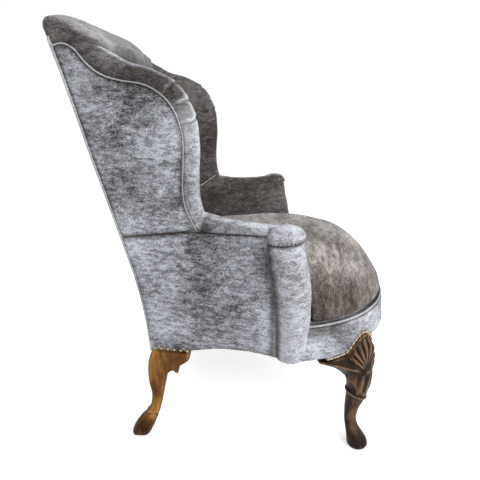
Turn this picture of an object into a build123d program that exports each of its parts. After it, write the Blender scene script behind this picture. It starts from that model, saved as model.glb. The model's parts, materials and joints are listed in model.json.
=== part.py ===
from build123d import *

import math
import os

# Velvet wing armchair, in millimetres. It stands on z = 0 and faces -Y, and the sitter's
# left is +X. The left side is modelled, and the right side is its mirror image.

# Seat plan: a round front about SEAT_CENTRE_Y and sides that narrow towards the back
SEAT_CENTRE_Y = -106.0
BORDER_RADIUS = 306.0
BORDER_THICKNESS = 8.0
BORDER_SWELL = 2.5
BORDER_LIP = 13.0
RAIL_BOTTOM = 283.0
RAIL_TOP = 352.0
RAIL_THICKNESS = 36.0
PANEL = 5.0
SIDE_REAR_X = 243.0
SIDE_REAR_Y = 236.0
SEAT_REAR_Y = 150.0
CLEARANCE = 0.3

# Back: upright up to the break, raked above it
BACK_FOOT_Y = 236.0
BACK_FOOT_Z = 256.0
LOWER_LEAN = 0.075
BACK_BREAK_Z = 400.0
RAKE_ANGLE = 13.8
POST_WIDTH = 34.0
POST_DEPTH = 40.0
POST_SPLAY = 0.0303
POST_FOOT_X = 240.8
CREST_RAIL_HEIGHT = 70.0
CREST_RAIL_DEPTH = 28.0
LOWER_BACK_RAIL_Z = 405.0
LOWER_BACK_RAIL_HEIGHT = 60.0
REAR_RAIL_DEPTH = 30.0
CREST_TOP = 1049.0
CREST_COVER = 49.0
CREST_REAR_OVERHANG = 20.3
BACK_PAD_FRONT_FOOT_Y = 165.0
BACK_PAD_FRONT_TOP_Y = 297.0
BACK_BELLY = 10.0
CREST_ROLL = 50.0
CREST_SKIRT = 14.0
BACK_STATIONS = ((0, 16, 0), (110, 12, 0), (190, 3, 1), (230, -2, 8), (256, -8, 26))
WEB_ROWS = 5
WEB_COLUMNS = 3

# Wings: flat side panels that lean outwards, with a roll along their edge
WING_PLANE_X = 254.1
WING_FLARE = 0.0986
WING_LEAN = 0.0473
WING_THICKNESS = 50.0
WING_ROLL_RADIUS = 26.0
WING_ROLL_INSET = 23.0
WING_SEAM_FRONT = (100.0, 590.0)
WING_SEAM_REAR = (300.0, 568.0)
WING_EDGE = ((391, 987), (352, 990), (308, 930), (150, 916), (121, 800), (133, 690), WING_SEAM_FRONT)
WING_EDGE_RADII = (18, 40, 70, 90, 90)
WING_ROLL = ((356, 972), (333, 975), (265, 934), (128, 918), (114, 800), (118, 690), (100, 596))
WING_ROLL_RADII = (30, 80, 85, 100, 90)
WING_POST = ((142, 530), (180, 530), (190, 842), (152, 842))
WING_RAIL = ((152, 842), (160, 872), (262, 892), (345, 940), (335, 898), (270, 856), (190, 842))
WING_FRAME_INSET = 8.0
WING_FRAME_THICKNESS = 24.0
WELT_RADIUS = 3.5
WELT_RISE = 1.5

# Arms: a rolled top that flares outwards to an upright scroll at the front
ARM_INNER_X = 204.0
ARM_INNER_Y = 100.0
ARM_INNER_FLARE = 0.2105
ARM_TOP_Z = 633.0
ARM_ROLL_HALF_WIDTH = 30.0
ARM_ROLL_HEIGHT = 25.0
ARM_ROLL_X = 254.0
ARM_ROLL_Y = 86.0
ARM_ROLL_FLARE = 0.396
ARM_PANEL_TOP = 590.0
ARM_PANEL_FRONT_X = 312.0
ARM_PANEL_FRONT_Y = -87.0
ARM_PAD_GAP = 3.0
ARM_STATIONS = (190.0, 90.0, 0.0, -96.0)
PANEL_FOOT = 250.0
PANEL_ARCH_REAR_Z = 258.0
PANEL_ARCH = ((320, 254), (236, 257), (150, 262), (70, 281), (0, 285), (-110, 271))
ARM_SHOULDER_LEAN = 8.0
ARM_SHOULDER_Z = 566.0
ARM_RAIL_BOTTOM = 528.0
ARM_RAIL_HEIGHT = 32.0
ARM_RAIL_WIDTH = 26.0
ARM_RAIL_INSET = 6.0
ARM_BEND_Y = -60.0
STUMP_RADIUS = 20.0
STUMP_INSET = 10.0
STUMP_TOP = (312.0, -104.0)
SCROLL_TOP = 590.0
SCROLL_DROP = 14.0
CAP_PROFILE = ((0, 0), (13, 1), (24, 10), (32, 26))

# Seat inside and cushion
SPRING_WIRE_RADIUS = 2.0
SPRING_HALF_WIDTH = 22.0
SPRING_PITCH = 24.0
SPRING_BEND = 8.0
SPRING_END = 20.0
SPRING_INSET = 12.0
SPRING_POSITIONS = (-150.0, -50.0, 50.0, 150.0)
CLIP_SIZE = (14.0, 12.0, 7.5)
HESSIAN = 1.0
DECK_LAP = 14.0
DECK_PAD = 8.0
CUSHION_CROWN = 540.0
CUSHION_SHOULDER = 104.0
CUSHION_SHOULDER_DROP = 28.0
CUSHION_SET_BACK = 12.0
CUSHION_EDGE_RISE = 35.0
CUSHION_TUCK = 7.0
CUSHION_COVER = 2.5
CUSHION_CORNER = 30.0
CUSHION_GAP = 0.8
CUSHION_ARM_GAP = 1.5
CUSHION_TOP_SWEEP = 660.0
CUSHION_SIDE_SWEEP = 600.0

# Legs
LEG_ANGLE = 36.0
TENON_RADIUS = 10.0
TENON_INSET = 22.0
TENON_LENGTH = 47.0
SHELL_INSET = 6.0
SHELL_PROFILE = ((0, 42), (27, 31), (47, 23), (60, 13))
KNEE_BLOCK_DEPTH = 28.0
KNEE_BLOCK_ANGLE = 13.5
FRONT_EAR = ((40, 0), (-38, 0), (-38, 52), (-20, 36), (-12, 30), (16, 18))
REAR_EAR = ((82, 0), (0, 0), (0, 90), (22, 80), (34, 62), (50, 36))
NAIL_RADIUS = 5.0
NAIL_PITCH = 17.0
REAR_NAIL_Z = 269.5
REAR_NAILS = 6
FRONT_NAILS = ((98, 290), (81, 290), (64, 291), (52, 302), (42, 315), (32, 328), (24, 342))

# Fastenings
DOWEL_RADIUS = 5.0
DOWEL_LENGTH = 48.0
DOWEL_INSET = 17.0
SCREW_RADIUS = 2.5
SCREW_LENGTH = 46.0
SCREW_HEAD_RADIUS = 4.5
SCREW_HEAD = 3.0
SCREW_HEIGHTS = (10.5, 29.5)
SCREW_SPACING = 50.0
BLOCK_BOTTOM = 295.0
BLOCK_HEIGHT = 42.0
BLOCK_SIZE = 80.0
BLOCK_DEPTH = 36.0
BLOCK_LAP = 6.0
STRAP_WIDTH = 48.0
STRAP = 1.5

# Values worked out from the driving dimensions
RAKE = math.tan(math.radians(RAKE_ANGLE))
RING_OUTER = BORDER_RADIUS - BORDER_THICKNESS
RING_INNER = RING_OUTER - RAIL_THICKNESS
SIDE_FLARE = (RING_OUTER + PANEL - SIDE_REAR_X) / (SIDE_REAR_Y - SEAT_CENTRE_Y)
DECK_RADIUS = RING_OUTER - BORDER_LIP
DECK_TOP = RAIL_TOP + HESSIAN + DECK_PAD
CUSHION_EDGE_RADIUS = BORDER_RADIUS - CUSHION_SET_BACK
CUSHION_EDGE_Z = DECK_TOP + CUSHION_EDGE_RISE
CUSHION_SEAM_RADIUS = CUSHION_EDGE_RADIUS - CUSHION_TUCK
CUSHION_SHOULDER_RADIUS = CUSHION_EDGE_RADIUS - CUSHION_SHOULDER
CUSHION_SHOULDER_Z = CUSHION_CROWN - CUSHION_SHOULDER_DROP
POST_TOP = CREST_TOP - CREST_COVER
TENON_RING = BORDER_RADIUS - TENON_INSET
SHELL_RING = BORDER_RADIUS - SHELL_INSET
SEAT_AXIS = Axis((0, SEAT_CENTRE_Y, 0), (0, 0, 1))


def back_y(z):
    """The outer face of the back at a height."""
    low = min(z, BACK_BREAK_Z)
    return BACK_FOOT_Y + LOWER_LEAN * (low - BACK_FOOT_Z) + RAKE * max(0.0, z - BACK_BREAK_Z)


def back_side_x(z):
    """The outer side of the back at a height."""
    return POST_FOOT_X + POST_SPLAY * (z - RAIL_BOTTOM)


def post_inner_x(z):
    return back_side_x(z) - PANEL - POST_WIDTH


def side_x(y):
    """The outer face of the side panel at its lower edge."""
    return SIDE_REAR_X + SIDE_FLARE * (SIDE_REAR_Y - y)


def rail_inner_x(y):
    return side_x(y) - PANEL - RAIL_THICKNESS


def wing_x(y, z):
    return WING_PLANE_X - WING_FLARE * y + WING_LEAN * z


def panel_top_x(y):
    """The outer face of the side panel at its upper edge: it meets the wing, then flares."""
    seam_y = WING_SEAM_FRONT[0]
    if y >= seam_y:
        return wing_x(y, ARM_PANEL_TOP)
    start = wing_x(seam_y, ARM_PANEL_TOP)
    return start + (ARM_PANEL_FRONT_X - start) * (seam_y - y) / (seam_y - ARM_PANEL_FRONT_Y)


def arm_inner_x(y):
    return ARM_INNER_X + ARM_INNER_FLARE * (ARM_INNER_Y - y)


def arm_roll_x(y):
    return ARM_ROLL_X + ARM_ROLL_FLARE * (ARM_ROLL_Y - y)


def seat_point(radius, angle):
    """A point on the round seat front, with the angle turned from +X towards the front."""
    turn = math.radians(angle)
    return radius * math.cos(turn), SEAT_CENTRE_Y - radius * math.sin(turn)


def round_loft(stations, grow=0.0):
    """A solid through circles, each given as x, y, z and radius, all grown alike."""
    with BuildPart() as body:
        for x, y, z, radius in stations:
            with BuildSketch(Plane((x, y, z))):
                Circle(radius + grow)
        loft()
    return body.part


def quarter_arc(start, end):
    """An arc between a side point and a top point of a roll, bulging up and outwards."""
    side, top = (start, end) if start[1] < end[1] else (end, start)
    bulge = 1 - math.sqrt(0.5)
    middle = (side[0] + (top[0] - side[0]) * bulge, top[1] - (top[1] - side[1]) * bulge)
    return ThreePointArc(start, middle, end)


def back_rail(z_low, z_high, depth):
    """A rail between the rear posts, flush with their rear faces."""
    with BuildPart() as rail:
        for z in (z_low, z_high):
            with BuildSketch(Plane.XY.offset(z)):
                with Locations((0, back_y(z) - PANEL - depth / 2)):
                    Rectangle(2 * post_inner_x(z), depth)
        loft(ruled=True)
    return rail.part


def rod(start, direction, radius, length):
    with BuildPart() as body:
        with BuildSketch(Plane(origin=start, z_dir=direction)):
            Circle(radius)
        extrude(amount=length)
    return body.part


def half_disc(radius, z, thickness):
    """The round front of the seat as a plate."""
    with BuildPart() as plate:
        with BuildSketch(Plane.XY.offset(z)):
            with Locations((0, SEAT_CENTRE_Y)):
                Circle(radius)
            with Locations((0, SEAT_CENTRE_Y + radius / 2)):
                Rectangle(2 * radius, radius, mode=Mode.SUBTRACT)
        extrude(amount=thickness)
    return plate.part


def seat_plate(radius, rear_half_width, rear_y, z, thickness):
    """A plate in the shape of the seat: round in front, narrower behind."""
    with BuildPart() as plate:
        add(half_disc(radius, z, thickness))
        with BuildSketch(Plane.XY.offset(z)):
            with BuildLine():
                Polyline(
                    (-radius, SEAT_CENTRE_Y),
                    (radius, SEAT_CENTRE_Y),
                    (rear_half_width, rear_y),
                    (-rear_half_width, rear_y),
                    close=True,
                )
            make_face()
        extrude(amount=thickness)
    return plate.part


def mirrored(piece):
    """The right-hand piece that matches a left-hand one."""
    with BuildPart() as other:
        mirror(piece.part, about=Plane.YZ)
    return other


wing_plane = Plane(
    origin=(WING_PLANE_X, 0, 0), x_dir=(-WING_FLARE, 1, 0), z_dir=(1, WING_FLARE, -WING_LEAN)
)
back_plane = Plane(
    origin=(0, back_y(BACK_BREAK_Z) - PANEL - POST_DEPTH, BACK_BREAK_Z),
    x_dir=(1, 0, 0),
    z_dir=(0, -1, RAKE),
)

# Dowels of the frame, in pairs at each joint
dowel_rows = (
    (RAIL_BOTTOM + DOWEL_INSET, REAR_RAIL_DEPTH),
    (RAIL_TOP - DOWEL_INSET, REAR_RAIL_DEPTH),
    (LOWER_BACK_RAIL_Z + DOWEL_INSET, CREST_RAIL_DEPTH),
    (LOWER_BACK_RAIL_Z + LOWER_BACK_RAIL_HEIGHT - DOWEL_INSET, CREST_RAIL_DEPTH),
    (POST_TOP - CREST_RAIL_HEIGHT + DOWEL_INSET, CREST_RAIL_DEPTH),
    (POST_TOP - DOWEL_INSET, CREST_RAIL_DEPTH),
)
with BuildPart() as left_dowels:
    for z, depth in dowel_rows:
        start = (post_inner_x(z) - DOWEL_LENGTH / 2, back_y(z) - PANEL - depth / 2, z)
        add(rod(start, (1, 0, 0), DOWEL_RADIUS, DOWEL_LENGTH))
    for z in (RAIL_BOTTOM + DOWEL_INSET, RAIL_TOP - DOWEL_INSET):
        start = (RING_OUTER - RAIL_THICKNESS / 2, SEAT_CENTRE_Y - DOWEL_LENGTH / 2, z)
        add(rod(start, (0, 1, 0), DOWEL_RADIUS, DOWEL_LENGTH))
with BuildPart() as frame_dowels:
    add(left_dowels.part)
    mirror(left_dowels.part, about=Plane.YZ)

# Rear posts
with BuildPart() as left_rear_post:
    for z in (RAIL_BOTTOM, BACK_BREAK_Z, POST_TOP):
        with BuildSketch(Plane.XY.offset(z)):
            with Locations((post_inner_x(z) + POST_WIDTH / 2, back_y(z) - PANEL - POST_DEPTH / 2)):
                Rectangle(POST_WIDTH, POST_DEPTH)
    loft(ruled=True)
    add(frame_dowels.part, mode=Mode.SUBTRACT)

# Rails between the posts
with BuildPart() as rear_seat_rail:
    add(back_rail(RAIL_BOTTOM, RAIL_TOP, REAR_RAIL_DEPTH))
    add(frame_dowels.part, mode=Mode.SUBTRACT)

with BuildPart() as lower_back_rail:
    add(back_rail(LOWER_BACK_RAIL_Z, LOWER_BACK_RAIL_Z + LOWER_BACK_RAIL_HEIGHT, CREST_RAIL_DEPTH))
    add(frame_dowels.part, mode=Mode.SUBTRACT)

with BuildPart() as crest_rail:
    add(back_rail(POST_TOP - CREST_RAIL_HEIGHT, POST_TOP, CREST_RAIL_DEPTH))
    add(frame_dowels.part, mode=Mode.SUBTRACT)

# Front legs: round pad foot, slim ankle, and a knee that rises over the border
# Each station is set in from the corner of the square round the seat's front
front_corner_y = SEAT_CENTRE_Y - BORDER_RADIUS
front_leg_stations = [
    (BORDER_RADIUS - inset_x, front_corner_y + inset_y, z, radius)
    for inset_x, inset_y, z, radius in (
        (28, 106, 0, 22),
        (28, 106, 8, 26),
        (28.5, 107, 22, 26.5),
        (33, 113, 40, 23),
        (39, 120, 62, 18),
        (44, 125, 90, 15),
        (46, 126, 118, 14.3),
        (44, 121, 150, 18),
        (41, 116, 180, 25),
        (40, 114, 216, 34),
        (44, 116, 250, 41),
        (54, 123, RAIL_BOTTOM, 42),
    )
]
shell_x, shell_y = seat_point(SHELL_RING, LEG_ANGLE)
shell_stations = [(shell_x, shell_y, RAIL_BOTTOM + rise, radius) for rise, radius in SHELL_PROFILE]
tenon_x, tenon_y = seat_point(TENON_RING, LEG_ANGLE)
shell_back = BORDER_RADIUS + BORDER_SWELL + CLEARANCE
with BuildPart() as front_left_shell:
    add(round_loft(shell_stations))
    with BuildSketch(Plane.XY.offset(RAIL_BOTTOM)):
        with Locations((0, SEAT_CENTRE_Y)):
            Circle(shell_back)
    extrude(amount=SHELL_PROFILE[-1][0], mode=Mode.SUBTRACT)
with BuildPart() as front_left_leg:
    add(round_loft(front_leg_stations))
    add(front_left_shell.part)
    add(rod((tenon_x, tenon_y, RAIL_BOTTOM), (0, 0, 1), TENON_RADIUS, TENON_LENGTH))

# Curved front seat rail, bored for the leg tenons
with BuildPart() as front_seat_rail:
    add(half_disc(RING_OUTER, RAIL_BOTTOM, RAIL_TOP - RAIL_BOTTOM))
    add(half_disc(RING_INNER, RAIL_BOTTOM, RAIL_TOP - RAIL_BOTTOM), mode=Mode.SUBTRACT)
    for side in (1, -1):
        tenon = rod((side * tenon_x, tenon_y, RAIL_BOTTOM), (0, 0, 1), TENON_RADIUS, TENON_LENGTH)
        add(tenon, mode=Mode.SUBTRACT)
    add(frame_dowels.part, mode=Mode.SUBTRACT)

# Side seat rails, notched round the rear posts
rail_rear_y = back_y(RAIL_BOTTOM) - PANEL - POST_DEPTH / 2
rail_outer_rear_x = side_x(rail_rear_y) - PANEL
with BuildPart() as left_seat_rail:
    with BuildSketch(Plane.XY.offset(RAIL_BOTTOM)):
        with BuildLine():
            Polyline(
                (RING_INNER, SEAT_CENTRE_Y),
                (RING_OUTER, SEAT_CENTRE_Y),
                (rail_outer_rear_x, rail_rear_y),
                (rail_inner_x(rail_rear_y), rail_rear_y),
                close=True,
            )
        make_face()
    extrude(amount=RAIL_TOP - RAIL_BOTTOM)
    add(left_rear_post.part, mode=Mode.SUBTRACT)
    add(frame_dowels.part, mode=Mode.SUBTRACT)

# Arm scroll: the upright cone at the front of the arm
scroll_stations = (
    (292, -121, RAIL_BOTTOM - SCROLL_DROP, 34),
    (302, -123, 381, 40),
    (312, -118, 456, 45),
    (320, -108, 516, 46),
    (330, -99, 580, 42.5),
    (331, -98, SCROLL_TOP, 42),
)
cap_x, cap_y, cap_z, cap_radius = scroll_stations[-1]
cap_stations = [(cap_x, cap_y, cap_z + rise, cap_radius - taper) for rise, taper in CAP_PROFILE]
stump_foot_x, stump_foot_y = scroll_stations[0][:2]
stump_waist_x, stump_waist_y, stump_waist_z = scroll_stations[2][:3]
stump_x, stump_y = STUMP_TOP
stump_stations = (
    (stump_foot_x - STUMP_INSET / 2, stump_foot_y, RAIL_TOP, STUMP_RADIUS),
    (stump_waist_x - STUMP_INSET, stump_waist_y, stump_waist_z, STUMP_RADIUS),
    (stump_x, stump_y, ARM_RAIL_BOTTOM, STUMP_RADIUS),
)
with BuildPart() as left_arm_stump:
    add(round_loft(stump_stations))

# Arm rail from the rear post to the top of the stump
arm_rail_rear_y = back_y(ARM_RAIL_BOTTOM) - PANEL - POST_DEPTH / 2
arm_rail_rear_x = back_side_x(ARM_RAIL_BOTTOM) - PANEL - ARM_RAIL_INSET
arm_bend_x = panel_top_x(ARM_BEND_Y) - PANEL - 1.5 * ARM_RAIL_INSET
with BuildPart() as left_arm_rail:
    with BuildSketch(Plane.XY.offset(ARM_RAIL_BOTTOM)):
        with BuildLine():
            Polyline(
                (arm_rail_rear_x - ARM_RAIL_WIDTH, arm_rail_rear_y),
                (arm_rail_rear_x, arm_rail_rear_y),
                (arm_bend_x, ARM_BEND_Y),
                (stump_x + STUMP_RADIUS, stump_y),
                (stump_x + STUMP_RADIUS, stump_y - STUMP_RADIUS),
                (stump_x - STUMP_RADIUS, stump_y - STUMP_RADIUS),
                (arm_bend_x - ARM_RAIL_WIDTH, ARM_BEND_Y),
                close=True,
            )
        make_face()
    extrude(amount=ARM_RAIL_HEIGHT)
    add(left_rear_post.part, mode=Mode.SUBTRACT)

# Wing frame: a post on the arm rail and a rail back to the rear post
arm_rail_top = ARM_RAIL_BOTTOM + ARM_RAIL_HEIGHT
wing_frame_plane = wing_plane.offset(-WING_FRAME_INSET - PANEL)
with BuildPart() as left_wing_post:
    with BuildSketch(wing_frame_plane):
        with BuildLine():
            Polyline(*WING_POST, close=True)
        make_face()
    extrude(amount=-WING_FRAME_THICKNESS)
    split(bisect_by=Plane.XY.offset(arm_rail_top))

with BuildPart() as left_wing_rail:
    with BuildSketch(wing_frame_plane):
        with BuildLine():
            Polyline(*WING_RAIL, close=True)
        make_face()
    extrude(amount=-WING_FRAME_THICKNESS)
    add(left_rear_post.part, mode=Mode.SUBTRACT)

# Corner blocks inside the seat frame, and the screws through them
rear_corner_x = rail_inner_x(rail_rear_y)
rear_corner_y = back_y(RAIL_BOTTOM) - PANEL - REAR_RAIL_DEPTH
post_front_y = back_y(RAIL_BOTTOM) - PANEL - POST_DEPTH
front_block_x = RING_INNER - BLOCK_DEPTH + BLOCK_LAP
with BuildPart() as left_screws:
    for rise in SCREW_HEIGHTS:
        middle = (rear_corner_x - BLOCK_SIZE / 2, rear_corner_y - BLOCK_SIZE / 2, BLOCK_BOTTOM + rise)
        add(rod(middle, (1, 1, 0), SCREW_RADIUS, SCREW_LENGTH))
        add(rod(middle, (-1, -1, 0), SCREW_HEAD_RADIUS, SCREW_HEAD))
    for y in (SEAT_CENTRE_Y - SCREW_SPACING / 2, SEAT_CENTRE_Y + SCREW_SPACING / 2):
        middle = (front_block_x, y, BLOCK_BOTTOM + BLOCK_HEIGHT / 2)
        add(rod(middle, (1, 0, 0), SCREW_RADIUS, SCREW_LENGTH))
        add(rod(middle, (-1, 0, 0), SCREW_HEAD_RADIUS, SCREW_HEAD))
with BuildPart() as corner_block_screws:
    add(left_screws.part)
    mirror(left_screws.part, about=Plane.YZ)

with BuildPart() as left_blocks:
    with BuildSketch(Plane.XY.offset(BLOCK_BOTTOM)):
        with BuildLine():
            Polyline(
                (rear_corner_x - BLOCK_SIZE, rear_corner_y),
                (post_inner_x(RAIL_BOTTOM), rear_corner_y),
                (post_inner_x(RAIL_BOTTOM), post_front_y),
                (rail_inner_x(post_front_y), post_front_y),
                (rail_inner_x(rear_corner_y - BLOCK_SIZE), rear_corner_y - BLOCK_SIZE),
                close=True,
            )
        make_face()
        with Locations((front_block_x + BLOCK_DEPTH / 2, SEAT_CENTRE_Y)):
            Rectangle(BLOCK_DEPTH, BLOCK_SIZE)
    extrude(amount=BLOCK_HEIGHT)
    for neighbour in (rear_seat_rail, left_seat_rail, front_seat_rail, left_rear_post):
        add(neighbour.part, mode=Mode.SUBTRACT)
    add(left_screws.part, mode=Mode.SUBTRACT)
with BuildPart() as corner_blocks:
    add(left_blocks.part)
    mirror(left_blocks.part, about=Plane.YZ)

for bored in (left_seat_rail, left_rear_post, front_seat_rail):
    with bored:
        add(corner_block_screws.part, mode=Mode.SUBTRACT)

# Rear legs: they stand under the posts and kick backwards
rear_leg_stations = (
    (250, 276, 0, 20),
    (250, 276, 8, 24),
    (249, 273, 22, 25),
    (244, 258, 50, 21),
    (238, 243, 80, 16),
    (232, 231, 115, 15.5),
    (228, 225, 150, 19),
    (224, 220, 190, 23),
    (220, 214, 225, 24),
    (216.5, 208.3, 252, 22),
    (216, 208, RAIL_BOTTOM, 22),
)
with BuildPart() as rear_left_leg:
    add(round_loft(rear_leg_stations))

# Knee blocks under the seat rails
with BuildPart() as left_front_knee_blocks:
    for turn in (1, -1):
        angle = LEG_ANGLE + turn * KNEE_BLOCK_ANGLE
        x, y = seat_point(BORDER_RADIUS + BORDER_SWELL, angle)
        outward = (math.cos(math.radians(angle)), -math.sin(math.radians(angle)), 0)
        along = (-turn * outward[1], turn * outward[0], 0)
        face = Plane(origin=(x, y, RAIL_BOTTOM), x_dir=along, z_dir=outward)
        tip, heel, low, hollow, dip, sweep_point = [(along_x, -turn * drop) for along_x, drop in FRONT_EAR]
        with BuildSketch(face):
            with BuildLine():
                Polyline(tip, heel, low)
                ThreePointArc(low, hollow, dip)
                ThreePointArc(dip, sweep_point, tip)
            make_face()
        extrude(amount=-KNEE_BLOCK_DEPTH)
    add(round_loft(front_leg_stations, CLEARANCE), mode=Mode.SUBTRACT)
with BuildPart() as front_knee_blocks:
    add(left_front_knee_blocks.part)
    mirror(left_front_knee_blocks.part, about=Plane.YZ)

with BuildPart() as left_rear_knee_block:
    ear_y = rear_leg_stations[-1][1]
    face = Plane(
        origin=(side_x(ear_y) - PANEL, ear_y, RAIL_BOTTOM),
        x_dir=(SIDE_FLARE, -1, 0),
        z_dir=(1, SIDE_FLARE, 0),
    )
    tip, heel, low, hollow, dip, sweep_point = REAR_EAR
    with BuildSketch(face):
        with BuildLine():
            Polyline(tip, heel, low)
            ThreePointArc(low, hollow, dip)
            ThreePointArc(dip, sweep_point, tip)
        make_face()
    extrude(amount=-KNEE_BLOCK_DEPTH)
    add(round_loft(rear_leg_stations, CLEARANCE), mode=Mode.SUBTRACT)
with BuildPart() as rear_knee_blocks:
    add(left_rear_knee_block.part)
    mirror(left_rear_knee_block.part, about=Plane.YZ)

# Zig-zag seat springs and the clips that hold their ends
spring_z = RAIL_TOP - SPRING_WIRE_RADIUS - CLEARANCE
clip_foot_z = RAIL_TOP - CLEARANCE - CLIP_SIZE[2]
spring_rear_y = back_y(clip_foot_z) - PANEL - REAR_RAIL_DEPTH - CLEARANCE - CLIP_SIZE[1] / 2
with BuildPart() as seat_springs:
    for x in SPRING_POSITIONS:
        front_y = SEAT_CENTRE_Y - math.sqrt(RING_INNER**2 - x**2) + SPRING_INSET
        zigzag = spring_rear_y - front_y - 2 * SPRING_END
        count = 2 * int(zigzag / (2 * SPRING_PITCH))
        step = zigzag / count
        points = [(x, front_y), (x, front_y + SPRING_END)]
        for turn in range(count):
            swing = SPRING_HALF_WIDTH if turn % 2 else -SPRING_HALF_WIDTH
            points.append((x + swing, front_y + SPRING_END + turn * step))
            points.append((x + swing, front_y + SPRING_END + (turn + 1) * step))
        points += [(x, spring_rear_y - SPRING_END), (x, spring_rear_y)]
        with BuildLine(Plane.XY.offset(spring_z)) as wire:
            FilletPolyline(*points, radius=SPRING_BEND)
        with BuildSketch(Plane(origin=wire.line @ 0, z_dir=wire.line % 0)):
            Circle(SPRING_WIRE_RADIUS)
        sweep(path=wire.line)

with BuildPart() as spring_clips:
    for x in SPRING_POSITIONS:
        front_y = SEAT_CENTRE_Y - math.sqrt(RING_INNER**2 - x**2)
        for y in (front_y + CLIP_SIZE[1] / 2, spring_rear_y):
            with Locations((x, y, RAIL_TOP - CLEARANCE - CLIP_SIZE[2] / 2)):
                Box(*CLIP_SIZE)
    for neighbour in (front_seat_rail, seat_springs):
        add(neighbour.part, mode=Mode.SUBTRACT)

# Arm scrolls and their gathered caps
with BuildPart() as left_arm_scroll:
    add(round_loft(scroll_stations))
    seat_room = seat_plate(RING_OUTER + CLEARANCE, rail_outer_rear_x + CLEARANCE, rail_rear_y, 0, RAIL_TOP)
    add(seat_room, mode=Mode.SUBTRACT)
    for inner in (left_arm_stump, left_arm_rail):
        add(inner.part, mode=Mode.SUBTRACT)
with BuildPart() as left_arm_cap:
    add(round_loft(cap_stations))
with BuildPart() as scroll_room:
    add(round_loft(scroll_stations, CLEARANCE))
    add(round_loft(cap_stations, CLEARANCE))

# The space behind the back and the arched lower edge, which trim the side panels
with BuildPart() as behind_back:
    with BuildSketch(Plane.YZ):
        with BuildLine():
            Polyline(
                (back_y(0) - PANEL, 0),
                (back_y(BACK_BREAK_Z) - PANEL, BACK_BREAK_Z),
                (back_y(2 * POST_TOP) - PANEL, 2 * POST_TOP),
                (3 * POST_TOP, 2 * POST_TOP),
                (3 * POST_TOP, 0),
                close=True,
            )
        make_face()
    extrude(amount=POST_TOP)
with BuildPart() as below_panel:
    with BuildSketch(Plane.YZ):
        with BuildLine():
            arch = Spline(*PANEL_ARCH)
            Polyline(arch @ 1, (PANEL_ARCH[-1][0], 0), (PANEL_ARCH[0][0], 0), arch @ 0)
        make_face()
    extrude(amount=POST_TOP)

# Outside arm panel
with BuildPart() as left_outside_arm_panel:
    for y, top_z in (WING_SEAM_REAR, WING_SEAM_FRONT, (SEAT_CENTRE_Y, ARM_PANEL_TOP)):
        with BuildSketch(Plane.XZ.offset(-y)):
            with BuildLine():
                Polyline(
                    (side_x(y) - PANEL, PANEL_FOOT),
                    (side_x(y), PANEL_FOOT),
                    (panel_top_x(y), top_z),
                    (panel_top_x(y) - PANEL, top_z),
                    close=True,
                )
            make_face()
    loft(ruled=True)
    for cutter in (behind_back, below_panel, scroll_room, left_seat_rail):
        add(cutter.part, mode=Mode.SUBTRACT)


# Wing: outside panel, padded wing with its roll, and the welt between them
def wing_slab(thickness, inset):
    """A slab in the shape of the wing, below its edge."""
    with BuildPart() as slab:
        with BuildSketch(wing_plane.offset(-inset)):
            with BuildLine():
                edge = FilletPolyline(*WING_EDGE, radius=WING_EDGE_RADII)
                Polyline(edge @ 1, WING_SEAM_REAR, edge @ 0)
            make_face()
        extrude(amount=-thickness)
        add(behind_back.part, mode=Mode.SUBTRACT)
    return slab.part


def wing_tube(points, radii, offset, radius):
    """A tube along the wing's edge."""
    with BuildPart() as tube:
        with BuildLine(wing_plane.offset(offset)) as path:
            FilletPolyline(*points, radius=radii)
        with BuildSketch(Plane(origin=path.line @ 0, z_dir=path.line % 0)):
            Circle(radius)
        sweep(path=path.line)
    return tube.part


wing_frame = (left_rear_post, crest_rail, frame_dowels, left_wing_post, left_wing_rail, left_arm_rail)
wing_roll = wing_tube(WING_ROLL, WING_ROLL_RADII, -WING_ROLL_INSET, WING_ROLL_RADIUS)
wing_roll_room = wing_tube(WING_ROLL, WING_ROLL_RADII, -WING_ROLL_INSET, WING_ROLL_RADIUS + CLEARANCE)
with BuildPart() as left_outside_wing_panel:
    add(wing_slab(PANEL, 0))
    add(wing_roll_room, mode=Mode.SUBTRACT)
    add(left_outside_arm_panel.part, mode=Mode.SUBTRACT)
with BuildPart() as left_wing_pad:
    add(wing_slab(WING_THICKNESS - PANEL, PANEL))
    add(wing_roll)
    for cutter in (behind_back, left_outside_arm_panel) + wing_frame:
        add(cutter.part, mode=Mode.SUBTRACT)
with BuildPart() as wing_room:
    add(wing_slab(WING_ROLL_RADIUS + WING_THICKNESS + CLEARANCE, -WING_ROLL_RADIUS))
    add(wing_roll_room)
with BuildPart() as left_wing_welt:
    add(wing_tube(WING_EDGE, WING_EDGE_RADII, WELT_RISE, WELT_RADIUS))
    add(wing_slab(PANEL, 0), mode=Mode.SUBTRACT)
    for cutter in (behind_back, left_outside_arm_panel):
        add(cutter.part, mode=Mode.SUBTRACT)
    add(wing_roll_room, mode=Mode.SUBTRACT)


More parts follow.
